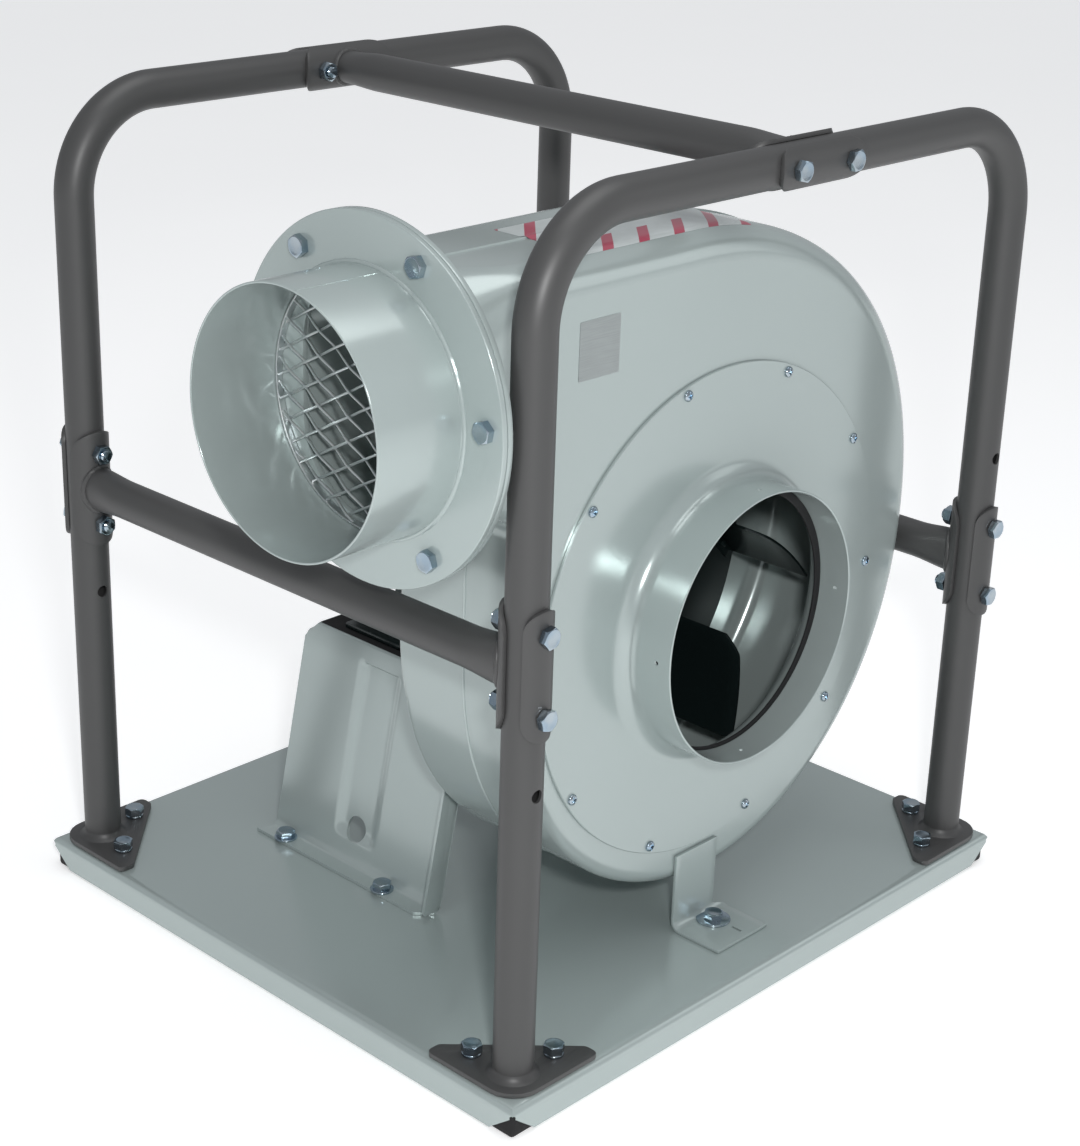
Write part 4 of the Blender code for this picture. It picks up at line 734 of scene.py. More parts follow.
STRIPED_FOIL = Foil("striped_foil", "casing_paint", (0.50, 0.54, 0.54), 0.36, border=0.025,
                    size=(0.168, 0.079))


def dress(item: Piece, finish: Finish, body: Body = Body.ROOT,
          replaces: Sequence[str] = ()) -> Piece:
    """Give a finished piece its material, its body and the nodes it stands for.

    Args:
        item: The piece, at the origin.
        finish: Its finish.
        body: The body that it moves with.
        replaces: CAD nodes that it stands for.

    Returns:
        The piece.
    """
    item.data.materials.clear()
    item.data.materials.append(finish.material())
    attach(item, body.value)
    if replaces:
        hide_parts(*replaces)
    LOG.info("%s: %d faces, %s", item.name, len(item.data.polygons), finish.name)
    return item


def repaint(nodes: Sequence[str], finish: Finish) -> None:
    """Give CAD nodes that keep their shape the material of a finish."""
    for name in nodes:
        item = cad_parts[name]
        item.data.materials.clear()
        item.data.materials.append(finish.material())
        LOG.info("%s: kept, %s", name, finish.name)


class Nodework:
    """Geometry Nodes: one tree, its named inputs, and the mesh that it makes."""

    def __init__(self, name: str) -> None:
        """Start a tree with a geometry input and output."""
        self.tree = bpy.data.node_groups.new(name, "GeometryNodeTree")
        self.graph = Graph(self.tree)
        self.tree.interface.new_socket("Geometry", in_out="INPUT", socket_type="NodeSocketGeometry")
        self.tree.interface.new_socket("Geometry", in_out="OUTPUT", socket_type="NodeSocketGeometry")
        self.given = self.graph.node("NodeGroupInput")
        self.names: dict[str, str] = {}

    def ask(self, name: str, kind: str) -> Socket:
        """Add a named input.

        Args:
            name: The input's name.
            kind: Its type, such as Float.

        Returns:
            The socket that gives its value inside the tree.
        """
        socket = self.tree.interface.new_socket(name, in_out="INPUT", socket_type=f"NodeSocket{kind}")
        self.names[name] = socket.identifier
        return self.given.outputs[name]

    def close(self, geometry: Socket) -> None:
        """End the tree: realise the instances and set the material."""
        real = self.graph.node("GeometryNodeRealizeInstances", {}, {0: geometry})
        smooth = self.graph.node("GeometryNodeSetShadeSmooth", {}, {0: real.outputs[0]})
        painted = self.graph.node("GeometryNodeSetMaterial", {},
                                  {0: smooth.outputs[0], "Material": self.ask("Finish", "Material")})
        self.graph.node("NodeGroupOutput", {}, {0: painted.outputs[0]})

    def make(self, name: str, base: bpy.types.Mesh, values: dict) -> Piece:
        """Run the tree on a base mesh.

        Args:
            name: The new object's name.
            base: The mesh that the tree starts from.
            values: Its inputs by name.

        Returns:
            The result as a plain mesh.
        """
        item = show(name, base)
        modifier = item.modifiers.new("nodes", "NODES")
        modifier.node_group = self.tree
        for title, value in values.items():
            modifier[self.names[title]] = value
        return bake(item)


@dataclass
class Fastener:
    """A fastener's own shape, seated at the origin and pointing along +Z."""

    flats: float = 0.013
    head: float = 0.0053
    washer_radius: float = 0.0
    washer: float = 0.0016
    shank_radius: float = 0.004
    end: float = 0.0
    around: int = 48

    def hex_rows(self, base: float, height: float, dish: float) -> list[list[Vector]]:
        """Rows of a six-sided head whose corners are turned off by a cone.

        Args:
            base: Height of its seat.
            height: Its thickness.
            dish: How far the middle of its top is sunk.

        Returns:
            Rows of points from the seat to the top.
        """
        half = self.flats / 2
        top_radius = half * 0.95
        slope = math.tan(math.radians(30))

        def reach(angle: float) -> float:
            return half / math.cos((angle % (math.pi / 3)) - math.pi / 6)

        angles = [2 * math.pi * index / self.around for index in range(self.around)]
        rows = [[(reach(a) * 0.97, base) for a in angles],
                [(reach(a), base + height * 0.06) for a in angles],
                [(reach(a), base + height - (reach(a) - top_radius) * slope) for a in angles],
                [(top_radius, base + height) for _ in angles],
                [(top_radius * 0.9, base + height) for _ in angles],
                [(top_radius * 0.8, base + height - dish) for _ in angles]]
        return [[Vector((r * math.cos(a), r * math.sin(a), z)) for a, (r, z) in zip(angles, row)]
                for row in rows]

    def make(self, name: str) -> Piece:
        """Build a hexagon head or nut, with its washer and the bolt's end where it has them."""
        base = self.washer if self.washer_radius else 0.0
        parts = [skin("hexagon", self.hex_rows(base, self.head, 0.0002), sharp=25)]
        if self.washer_radius:
            soft = self.washer / 4
            section = rounded([(0.0, 0.0, 0), (self.washer_radius, 0.0, soft),
                               (self.washer_radius, self.washer, soft), (0.0, self.washer, 0)], 3)
            parts.append(lathe("washer", section, Vector(), UP, 48))
        if self.end > 0:
            tip = base + self.head
            threads = [(0.0, tip - MILLI)]
            turns = int(self.end / 0.00125) + 1
            for turn in range(turns):
                level = tip + self.end * turn / turns
                threads += [(self.shank_radius * 0.88, level), (self.shank_radius, level + 0.0006)]
            threads += [(self.shank_radius * 0.8, tip + self.end), (0.0, tip + self.end)]
            parts.append(lathe("thread", threads, Vector(), UP, 32, closed=False))
        return join(name, parts)


@dataclass
class PanScrew:
    """A pan-head screw with a cross recess, seated at the origin and pointing along +Z."""

    radius: float = 0.0040
    height: float = 0.0026
    recess: float = 0.0017
    slot: float = 0.0007

    def make(self, name: str) -> Piece:
        """Build the head and cut its recess."""
        low = 0.35 * self.height
        dome = [(0.0, 0.0), (self.radius * 0.97, 0.0), (self.radius, low * 0.4), (self.radius, low)]
        for share in (0.25, 0.5, 0.75):
            turn = share * math.pi / 2
            dome.append((self.radius * math.cos(turn), low + (self.height - low) * math.sin(turn)))
        dome.append((0.0, self.height))
        head = lathe(name, dome, Vector(), UP, 32, closed=False)
        deep = self.height - self.recess
        arms = [block("arm", Vector((-a, -b, deep)), Vector((a, b, 2 * self.height)))
                for a, b in ((self.radius * 0.55, self.slot), (self.slot, self.radius * 0.55))]
        return combine(head, arms)


@dataclass
class Rivet:
    """A domed rivet head, seated at the origin and pointing along +Z."""

    profile: tuple[Pair, ...] = ((0.0, 0.0), (0.0032, 0.0), (0.0028, 0.0009), (0.0016, 0.0016), (0.0, 0.0018))

    def make(self, name: str) -> Piece:
        """Turn the head."""
        return lathe(name, self.profile, Vector(), UP, 24, closed=False)


class FastenerWork(Nodework):
    """Puts a fastener on each seat, turned about its own axis by a seeded random angle."""

    def __init__(self) -> None:
        """Build the tree."""
        super().__init__("fasteners")
        graph = self.graph
        names = {"Name": "aim"}
        aim = graph.field("GeometryNodeInputNamedAttribute", {"data_type": "FLOAT_VECTOR"}, names)
        upright = graph.field("FunctionNodeAlignRotationToVector", {"axis": "Z"}, {"Vector": aim})
        spin = graph.field("FunctionNodeRandomValue", {"data_type": "FLOAT"},
                           {2: 0.0, 3: self.ask("Spin", "Float"), "Seed": self.ask("Seed", "Int")}, 1)
        own = graph.field("FunctionNodeAxisAngleToRotation", {}, {"Axis": (0.0, 0.0, 1.0), "Angle": spin})
        turned = graph.field("FunctionNodeRotateRotation", {"rotation_space": "LOCAL"},
                             {"Rotation": upright, "Rotate By": own})
        shape = graph.field("GeometryNodeObjectInfo", {}, {0: self.ask("Fastener", "Object")}, "Geometry")
        placed = graph.node("GeometryNodeInstanceOnPoints", {},
                            {"Points": self.given.outputs[0], "Instance": shape, "Rotation": turned})
        self.close(placed.outputs[0])

    def fasten(self, name: str, seats: Sequence[tuple[Vector, Vector]],
               kind: Fastener | PanScrew | Rivet, seed: int = 1, finish: Finish = ZINC) -> Piece:
        """Put one fastener on each seat.

        Args:
            name: The new object's name.
            seats: Places and the ways that the fasteners point.
            kind: The fastener.
            seed: Seed of the random turns.
            finish: Its finish.

        Returns:
            All the fasteners as one mesh.
        """
        base = bpy.data.meshes.new(name)
        base.from_pydata([tuple(place) for place, _ in seats], [], [])
        aim = base.attributes.new("aim", "FLOAT_VECTOR", "POINT")
        for index, (_, way) in enumerate(seats):
            aim.data[index].vector = way
        shape = kind.make("fastener")
        made = self.make(name, base, {"Spin": math.pi / 3, "Seed": seed, "Fastener": shape,
                                      "Finish": finish.material()})
        discard(shape)
        return made


class WovenWork(Nodework):
    """Weaves crimped wires over and under each other inside a circle."""

    def __init__(self) -> None:
        """Build the tree: two rows of waved lines, cut to the circle and swept into wires."""
        super().__init__("woven_guard")
        graph = self.graph
        pitch = Field(graph, self.ask("Pitch", "Float"))
        reach = Field(graph, self.ask("Reach", "Float"))
        wire = self.ask("Wire radius", "Float")
        crimp = Field(graph, self.ask("Crimp", "Float"))
        count = Field(graph, self.ask("Count", "Int"))
        origin = self.ask("Origin", "Vector")
        turns = [Field(graph, self.ask(f"Turn {layer}", "Float")) for layer in (1, 2)]
        crossing = turns[1] - turns[0]
        spacing = pitch * crossing.math("SINE")
        lean = crossing.math("COSINE") / crossing.math("SINE")
        layers = []
        for turn, sign in zip(turns, (1.0, -1.0)):
            ends = {"Start": graph.vector(X=reach * -1.7), "End": graph.vector(X=reach * 1.7)}
            line = graph.node("GeometryNodeCurvePrimitiveLine", {}, ends)
            fine = graph.node("GeometryNodeResampleCurve", {}, {"Curve": line.outputs[0], "Count": 233})
            first, step = graph.vector(Y=count * spacing * -1.0), graph.vector(Y=spacing)
            row = graph.node("GeometryNodeMeshLine", {"mode": "OFFSET"},
                             {"Count": count * 2.0 + 1.0, "Start Location": first, "Offset": step})
            wires = graph.node("GeometryNodeInstanceOnPoints", {},
                               {"Points": row.outputs[0], "Instance": fine.outputs[0]})
            real = graph.node("GeometryNodeRealizeInstances", {}, {0: wires.outputs[0]})
            x, y, _ = graph.split(graph.field("GeometryNodeInputPosition"))
            wave = ((x - y * lean * sign) / pitch * math.pi).math("COSINE")
            wave = wave * (y / spacing * math.pi).math("COSINE")
            lift = graph.vector(Z=wave * crimp * sign)
            waved = graph.node("GeometryNodeSetPosition", {}, {0: real.outputs[0], "Offset": lift})
            placed = graph.node("GeometryNodeTransform", {},
                                {"Geometry": waved.outputs[0], "Translation": origin,
                                 "Rotation": graph.vector(Z=turn)})
            outside = (x * x + y * y).math("GREATER_THAN", reach * reach)
            layers.append(graph.node("GeometryNodeDeleteGeometry", {"domain": "POINT"},
                                     {"Geometry": placed.outputs[0], "Selection": outside}).outputs[0])
        both = graph.node("GeometryNodeJoinGeometry")
        for layer in layers:
            self.tree.links.new(layer, both.inputs[0])
        section = graph.node("GeometryNodeCurvePrimitiveCircle", {}, {"Resolution": 8, "Radius": wire})
        swept = graph.node("GeometryNodeCurveToMesh", {},
                           {"Curve": both.outputs[0], "Profile Curve": section.outputs[0],
                            "Fill Caps": True})
        self.close(swept.outputs[0])


class RibWork(Nodework):
    """Sets ribs round a barrel, each a tapered bar along the barrel's axis."""

    def __init__(self) -> None:
        """Build the tree."""
        super().__init__("ribs")
        graph = self.graph
        ring = graph.node("GeometryNodeMeshCircle", {},
                          {"Vertices": self.ask("Count", "Int"), "Radius": self.ask("Radius", "Float")})
        place = graph.node("GeometryNodeInputPosition")
        facing = graph.field("FunctionNodeAlignRotationToVector", {"axis": "X"},
                             {"Vector": place.outputs[0]})
        shape = graph.field("GeometryNodeObjectInfo", {}, {0: self.ask("Rib", "Object")}, "Geometry")
        placed = graph.node("GeometryNodeInstanceOnPoints", {},
                            {"Points": ring.outputs[0], "Instance": shape, "Rotation": facing})
        self.close(placed.outputs[0])


@dataclass
class Tray:
    """Base tray with folded flanges, on rubber pads."""

    sheet: float = 0.0025
    bend: float = 0.007
    corner_cut: float = 0.0169
    corner_half: float = 0.015
    relief: float = 0.0021
    overrun: float = 0.003
    pad: float = 0.036
    pad_inset: float = 0.0027

    def build(self) -> None:
        """Make the tray and its pads."""
        low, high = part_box("base_tray")
        shells = []
        for shrink, drop in ((0.0, 0.0), (self.sheet, self.overrun)):
            shape = bmesh.new()
            bmesh.ops.create_cube(shape, size=1)
            near = low + Vector((shrink, shrink, -drop))
            far = high - Vector((shrink, shrink, shrink))
            for vertex in shape.verts:
                share = vertex.co + Vector((0.5, 0.5, 0.5))
                vertex.co = near + Vector(s * (b - a) for s, a, b in zip(share, near, far))
            top = [edge for edge in shape.edges if all(v.co.z > high.z - self.bend for v in edge.verts)]
            bmesh.ops.bevel(shape, geom=top, offset=self.bend - shrink, segments=10, profile=0.5,
                            affect="EDGES")
            shells.append(solid("base_sheet", shape))
        tray, inside = shells
        tools = [inside]
        depth = self.corner_cut + self.overrun
        half = self.corner_half * depth / self.corner_cut
        for x in (low.x, high.x):
            for y in (low.y, high.y):
                apex = Vector((x, y, low.z + self.corner_cut))
                way = Vector((x - TRAY_MIDDLE, math.copysign(abs(x - TRAY_MIDDLE), y), 0)).normalized()
                place = Matrix((Vector((-way.y, way.x, 0)), (0, 0, 1), way)).transposed().to_4x4()
                place.translation = apex
                tools.append(plate("notch", [[(-half, -depth), (half, -depth), (0, 0)]], 0.05, place, 0.0))
                crown = apex - Vector((0, 0, 0.0012))
                tools.append(rod("relief", crown, way, self.relief, 4.3 * self.bend, 20))
        combine(tray, tools)
        soften(tray, 0.0004)
        tray.name = "tray_sheet"
        dress(bake(tray), CASING_PAINT, replaces=("base_tray",))
        for number in range(1, 5):
            node = f"rubber_foot_{number}"
            place, (base, crown) = middle_of(node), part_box(node)
            inset = self.pad_inset + self.pad / 2
            x = low.x + inset if place.x < TRAY_MIDDLE else high.x - inset
            y = low.y + inset if place.y < 0 else high.y - inset
            half = self.pad / 2
            pad = block(f"rubber_pad_{number}", Vector((x - half, y - half, base.z)),
                        Vector((x + half, y + half, crown.z)), 0.003)
            dress(pad, RUBBER, replaces=(node,))


@dataclass
class Cage:
    """Two hoops of bent tube on welded foot plates, joined by three crossbars and their clamps."""

    works: FastenerWork
    radius: float = 0.014
    wall: float = 0.002
    span: float = 0.495
    gap: float = 0.452
    top: float = 0.6035
    bend: float = 0.070
    plate_wall: float = 0.0035
    plate_heel: float = 0.025
    plate_leg: float = 0.082
    plate_end: float = 0.0115
    weld: float = 0.005
    holes: tuple[Pair, Pair] = ((0.034, -0.005), (-0.0055, 0.0335))
    hole_radius: float = 0.0045
    fit: float = 0.0003
    pitch: float = 0.055
    low_bar: float = 0.2657
    flare: float = 0.032
    end_half_width: float = 0.012
    end_half_height: float = 0.017
    saddle_wall: float = 0.003
    saddle_length: float = 0.088
    saddle_angle: float = math.radians(78)
    clamp_angle: float = math.radians(54)
    nut: float = 0.0065
    bolt_end: float = 0.003
    foot_head: float = 0.0065
    spring_washer: Pair = (0.0068, 0.0022)

    def path(self, plane: float, floor: float) -> list[Vector]:
        """Centre line of a hoop in its plane, from foot to foot."""
        half = self.span / 2
        reach = half - self.bend
        height = self.top - self.bend
        line = arc((-reach, height), self.bend, math.pi, math.pi / 2, 28)
        line += arc((reach, height), self.bend, math.pi / 2, 0, 28)
        line = [(-half, floor), *line, (half, floor)]
        return [Vector((TRAY_MIDDLE + x, plane, z)) for x, z in line]

    def hoop(self, name: str, side: int) -> None:
        """Build one hoop with its foot plates and welds.

        Args:
            name: The node's name.
            side: -1 at the front, 1 at the rear.
        """
        plane = side * self.gap / 2
        floor = TRAY_TOP + self.fit + self.plate_wall
        flat = BACK
        tube = sweep(f"{name}_tube", self.path(plane, floor - MILLI), self.radius, 48, flat=flat)
        bore = sweep("bore", self.path(plane, floor), self.radius - self.wall, 32, flat=flat)
        tools = [bore]
        drill = 4 * self.radius
        for end in (-1, 1):
            x = TRAY_MIDDLE + end * self.span / 2
            for step in (-1, 1, 3):
                level = self.low_bar + self.pitch * step / 2
                tools.append(rod("drill", Vector((x, plane, level)), flat, self.hole_radius, drill))
        combine(tube, tools)
        parts = [tube]
        heel, toe = -self.plate_heel, self.plate_leg - self.plate_heel
        tip = self.plate_end - self.plate_heel
        outline = rounded([(heel, heel, 0.022), (toe, heel, 0.0045), (toe, tip, 0.006),
                           (tip, toe, 0.006), (heel, toe, 0.0045)])
        for end in (-1, 1):
            lines = [outline, *(circle(self.hole_radius, 24, centre=hole) for hole in self.holes)]
            flipped = [[(-end * x, -side * y) for x, y in line] for line in lines]
            foot = Vector((TRAY_MIDDLE + end * self.span / 2, plane, floor - self.plate_wall / 2))
            parts.append(plate("foot", flipped, self.plate_wall, Matrix.Translation(foot), 0.0012))
            seat = foot + Vector((0, 0, self.plate_wall / 2 - 0.0004))
            fillet = [(self.radius - MILLI, 0), (self.radius + self.weld, 0)]
            fillet += arc((self.radius + 1.6 * self.weld, 1.6 * self.weld), 1.68 * self.weld,
                          math.radians(252), math.radians(198), 8)
            fillet += [(self.radius, self.weld), (self.radius - MILLI, self.weld)]
            parts.append(lathe("weld", fillet, seat, UP, 64))
        dress(join(f"{name}_tube", parts), FRAME_PAINT, replaces=(name,))

    def half_pipe(self, name: str, middle: Vector, outward: int, level: bool) -> Piece:
        """Half-pipe plate with rounded ends that hugs a tube.

        Args:
            name: The object's name.
            middle: The tube's axis at the plate's middle.
            outward: -1 where it bulges towards -Y, 1 towards +Y.
            level: Whether the tube lies level.

        Returns:
            The plate.
        """
        inner = self.radius + self.fit
        outer = inner + self.saddle_wall
        spread = self.clamp_angle if outward * middle.y > 0 else self.saddle_angle
        half_width = inner * spread
        straight = self.saddle_length / 2 - half_width
        columns, steps = 36, 28
        rows = []
        for column in range(columns + 1):
            share = math.sin(math.pi / 2 * (2 * column / columns - 1))
            angle = spread * share
            reach = straight + math.sqrt(max(1 - share**2, 0)) * half_width
            around, out = outer * math.sin(angle), outward * outer * math.cos(angle)
            row = []
            for step in range(steps + 1):
                along = reach * (2 * step / steps - 1)
                offset = Vector((along, out, around)) if level else Vector((around, out, along))
                row.append(middle + offset)
            rows.append(row)
        if level == (outward > 0):
            rows.reverse()
        sheet = skin(name, rows, loop=False, ends=False)
        face = sheet.data.polygons[len(sheet.data.polygons) // 2]
        face_away(sheet, face, face.center - middle)
        return thicken(sheet, self.saddle_wall, 0.0008)

    def crossbar(self, name: str, x: float, z: float, level: bool) -> None:
        """Build a crossbar with its saddles, and its clamp plates, bolts and nuts.

        Args:
            name: The crossbar's node.
            x: Place across the tray.
            z: Height.
            level: Whether the hoops' tubes lie level there.
        """
        half = self.gap / 2
        seat = self.radius + self.fit + self.saddle_wall
        stations = 14
        shares = [0.0] * 2 + [blend_step(step / stations) for step in range(1, stations + 1)]
        places = [0.0] + [half - seat - self.flare * (1 - step / stations) for step in range(stations + 1)]
        rows = []
        line = [(-y, share) for y, share in zip(reversed(places), reversed(shares))][:-1]
        line += list(zip(places, shares))
        for number, (y, share) in enumerate(line):
            across = self.radius + (self.end_half_width - self.radius) * share
            along = self.radius + (self.end_half_height - self.radius) * share
            wide, tall = (along, across) if level else (across, along)
            rows.append([Vector((x + wide * c, y, z + tall * s)) for c, s in circle(1, 48)])
        for row, sign in ((rows[0], -1), (rows[-1], 1)):
            for point in row:
                off = point.z - z if level else point.x - x
                point.y = sign * (half - math.sqrt((seat - self.saddle_wall / 2) ** 2 - off**2))
        parts = [skin("bar", rows)]
        for side in (-1, 1):
            middle = Vector((x, side * half, z))
            parts.append(self.half_pipe("saddle", middle, -side, level))
            path = []
            for c, s in circle(1, 72):
                wide, tall = self.end_half_width, self.end_half_height
                if level:
                    wide, tall = tall, wide
                off = tall * s if level else wide * c
                y = side * (half - math.sqrt(seat**2 - off**2))
                path.append(Vector((x + wide * c, y, z + tall * s)))
            parts.append(bead("weld", path, 0.0022, 7 + side))
            word = "front" if side < 0 else "rear"
            clamp = name.replace("crossbar", f"{word}_clamp_plate")
            plate_object = self.half_pipe(f"{clamp}_pressed", middle, side, level)
            dress(plate_object, FRAME_PAINT, replaces=(clamp,))
        dress(join(f"{name}_tube", parts), FRAME_PAINT, replaces=(name,))
        self.bolts(name, x, z, level, seat + self.fit)

    def bolts(self, name: str, x: float, z: float, level: bool, seat: float) -> None:
        """Put the bolt heads outside and the nuts inside at both ends of a crossbar."""
        heads, nuts, nodes = [], [], []
        for side in (-1, 1):
            word = "front" if side < 0 else "rear"
            for number, step in enumerate((-0.5, 0.5), 1):
                shift = self.pitch * step
                at = Vector((x + shift, 0, z)) if level else Vector((x, 0, z + shift))
                out = Vector((0, side, 0))
                heads.append((at + out * (self.gap / 2 + seat), out))
                nuts.append((at + out * (self.gap / 2 - seat), -out))
                nodes.append(name.replace("crossbar", f"{word}_bolt_{number}"))
        nut = Fastener(head=self.nut, end=self.bolt_end)
        parts = [self.works.fasten("heads", heads, Fastener(), len(name)),
                 self.works.fasten("nuts", nuts, nut, len(name) + 1)]
        dress(join(name.replace("crossbar", "bolts"), parts), ZINC, replaces=nodes)

    def foot_bolts(self) -> None:
        """Put two bolts through each foot plate."""
        seats = []
        for side in (-1, 1):
            for end in (-1, 1):
                for x, y in self.holes:
                    place = Vector((TRAY_MIDDLE + end * (self.span / 2 - x), side * (self.gap / 2 - y),
                                    TRAY_TOP + self.fit + self.plate_wall))
                    seats.append((place, UP))
        radius, wall = self.spring_washer
        head = Fastener(head=self.foot_head, washer_radius=radius, washer=wall)
        dress(self.works.fasten("foot_plate_bolts", seats, head, 5), ZINC)

    def build(self) -> None:
        """Make the whole cage."""
        self.hoop("front_hoop", -1)
        self.hoop("rear_hoop", 1)
        half = self.span / 2
        self.crossbar("left_crossbar", TRAY_MIDDLE - half, self.low_bar + self.pitch, False)
        self.crossbar("right_crossbar", TRAY_MIDDLE + half, self.low_bar, False)
        self.crossbar("top_crossbar", TRAY_MIDDLE, self.top, True)
        self.foot_bolts()


@dataclass
class Casing:
    """Scroll casing of two pressed halves, with the flange ring on its mouth and its labels."""

    wall: float = 0.002
    radii: tuple[float, ...] = (0.187, 0.202, 0.212, 0.218, 0.230, 0.256, 0.277)
    edge_start: float = 0.008
    edge: float = 0.022
    mouth_edge: float = 0.060
    neck_height: float = 0.163
    fillet: float = 0.025
    cover_radius: float = 0.182
    wheel_hole: float = 0.168
    hub_hole: float = 0.045
    fit: float = 0.0003
    scroll_steps: int = 144
    edge_steps: int = 12
    neck_steps: int = 28
    flange_wall: float = 0.004
    swell: float = 0.004
    seam_radius: float = 0.0011
    label: tuple[float, float, float, float] = (-0.138, 0.030, -0.162, -0.083)

    def __post_init__(self) -> None:
        """Read the casing's places from the frame."""
        self.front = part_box("casing_front_shell")[0].y
        self.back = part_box("casing_rear_shell")[1].y
        self.seam = (self.front + self.back) / 2
        self.mouth = SHAFT.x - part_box("casing_front_shell")[0].x
        self.pitch = math.pi / 4
        growth = (self.radii[-1] - self.radii[-2]) / self.pitch
        self.end = math.pi / 2 + math.atan(growth / self.radii[-1])
        self.neck_top = self.radius_at(self.end) * math.sin(self.end)
        self.neck_bottom = self.neck_top - self.neck_height

    def radius_at(self, angle: float) -> float:
        """Radius of the scroll at an angle, on a smooth curve through its radii."""
        place = (angle + math.pi) / self.pitch
        index = min(int(place), len(self.radii) - 2)
        share = place - index
        here, there = self.radii[index], self.radii[index + 1]
        before = self.radii[abs(index - 1)]
        after = self.radii[index + 2] if index + 2 < len(self.radii) else 2 * there - here
        rise_here, rise_there = (there - before) / 2, (after - here) / 2
        bend = 2 * (here - there) + rise_here + rise_there
        lean = 3 * (there - here) - 2 * rise_here - rise_there
        shoulder = math.cos(2 * angle - math.pi / 2) if 0 < angle < math.pi / 2 else 0.0
        return here + share * (rise_here + share * (lean + share * bend)) + self.swell * shoulder**2

    def outline(self) -> Outline:
        """Outline of the scroll and its neck about the shaft, from the mouth's lower to upper end."""
        start = self.radii[0]
        fillet_at = (-start - self.fillet, self.neck_bottom - self.fillet)
        points = [(-self.mouth + (self.mouth + fillet_at[0]) * step / 8, self.neck_bottom)
                  for step in range(8)]
        points += arc(fillet_at, self.fillet, math.pi / 2, 0, 12)
        for step in range(1, self.scroll_steps + 1):
            angle = -math.pi + (self.end + math.pi) * step / self.scroll_steps
            radius = self.radius_at(angle)
            points.append((radius * math.cos(angle), radius * math.sin(angle)))
        last = points[-1][0]
        for step in range(1, self.neck_steps + 1):
            points.append((last + (-self.mouth - last) * step / self.neck_steps, self.neck_top))
        return points

    def edge_at(self, point: Pair) -> float:
        """Radius of the pressed edge: smaller beside the inlet cover, largest at the mouth."""
        away = math.hypot(*point)
        growth = min((away - self.radii[0]) / (self.radii[-1] - self.radii[0]), 1)
        pressed = self.edge_start + (self.edge - self.edge_start) * growth
        flare = min(max((-point[0] - self.radii[0]) / (self.mouth - self.radii[0]), 0), 1)
        swell = (self.mouth_edge - self.edge) * flare**2 * (3 - 2 * flare)
        return min(pressed, away - self.cover_radius - self.fit) + swell

    def shell(self, node: str, face: float, seam: float, hole: float) -> Piece:
        """Build one half of the casing.

        Args:
            node: The node that it stands for.
            face: Y of its flat face.
            seam: Y of its edge at the seam.
            hole: Radius of the hole in its face.

        Returns:
            The half as a closed body.
        """
        way = math.copysign(1, seam - face)
        line = self.outline()
        count = len(line)
        normals = []
        for index in range(count):
            span = Vector(line[min(index + 1, count - 1)]) - Vector(line[max(index - 1, 0)])
            normals.append(Vector((span.y, -span.x)).normalized())
        rings = []
        for step in range(-1, self.edge_steps + 2):
            turn = min(max(step, 0) / self.edge_steps, 1) * math.pi / 2
            ring = []
            for point, normal in zip(line, normals):
                radius = self.edge_at(point)
                inset = radius * (1 - math.sin(turn)) + (0.0012 if step < 0 else 0.0)
                at = Vector(point) - normal * inset
                y = face + way * radius * (1 - math.cos(turn))
                if step > self.edge_steps:
                    y = seam
                ring.append(Vector((SHAFT.x + at.x, y, SHAFT.z + at.y)))
            rings.append(ring)
        band = skin("band", rings, loop=False, ends=False)
        inner = [(point.x - SHAFT.x, point.z - SHAFT.z) for point in rings[0]]
        panel_line = [inner, circle(hole, 144)]
        turn = STAND
        panel = plate("panel", panel_line, 0.0, Matrix.Translation((SHAFT.x, face, SHAFT.z)) @ turn, 0.0)
        joined = join(f"{node}_pressed", (band, panel))
        shape = bmesh.new()
        shape.from_mesh(joined.data)
        bmesh.ops.remove_doubles(shape, verts=shape.verts, dist=0.00002)
        bmesh.ops.recalc_face_normals(shape, faces=shape.faces)
        shape.to_mesh(joined.data)
        shape.free()
        lead = max(joined.data.polygons, key=lambda face_of: face_of.area)
        face_away(joined, lead, Vector((0, -way, 0)))
        return thicken(joined, self.wall)

    def build(self) -> None:
        """Make both halves, the seam, the flange ring and the labels."""
        gap = self.fit / 2
        halves = (("casing_front_shell", self.front, self.seam - gap, self.wheel_hole),
                  ("casing_rear_shell", self.back, self.seam + gap, self.hub_hole))
        shells = [dress(self.shell(node, face, seam, hole), CASING_PAINT, replaces=(node,))
                  for node, face, seam, hole in halves]
        self.striped_label(shells)
        path = at_shaft(self.outline(), self.seam)
        dress(sweep("casing_seam", path, self.seam_radius, 10, flat=BACK), CASING_PAINT)
        self.flange()
        self.foil_plate()

    def flange(self) -> None:
        """Flange ring between the casing's mouth and the outlet spigot."""
        low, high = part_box("casing_flange")
        radius = (high.z - low.z) / 2
        half_width = (self.back - self.front) / 2 - self.wall
        half_height = self.neck_height / 2 - self.wall
        mouth = oblong(half_width, half_height, self.mouth_edge - self.wall, 16)
        turn = Matrix.Translation((low + high) / 2) @ Matrix.Rotation(-math.pi / 2, 4, "Z")
        ring = plate("mouth_flange", [circle(radius, 160), mouth], self.flange_wall, turn @ STAND, 0.0007)
        dress(ring, CASING_PAINT, replaces=("casing_flange",))

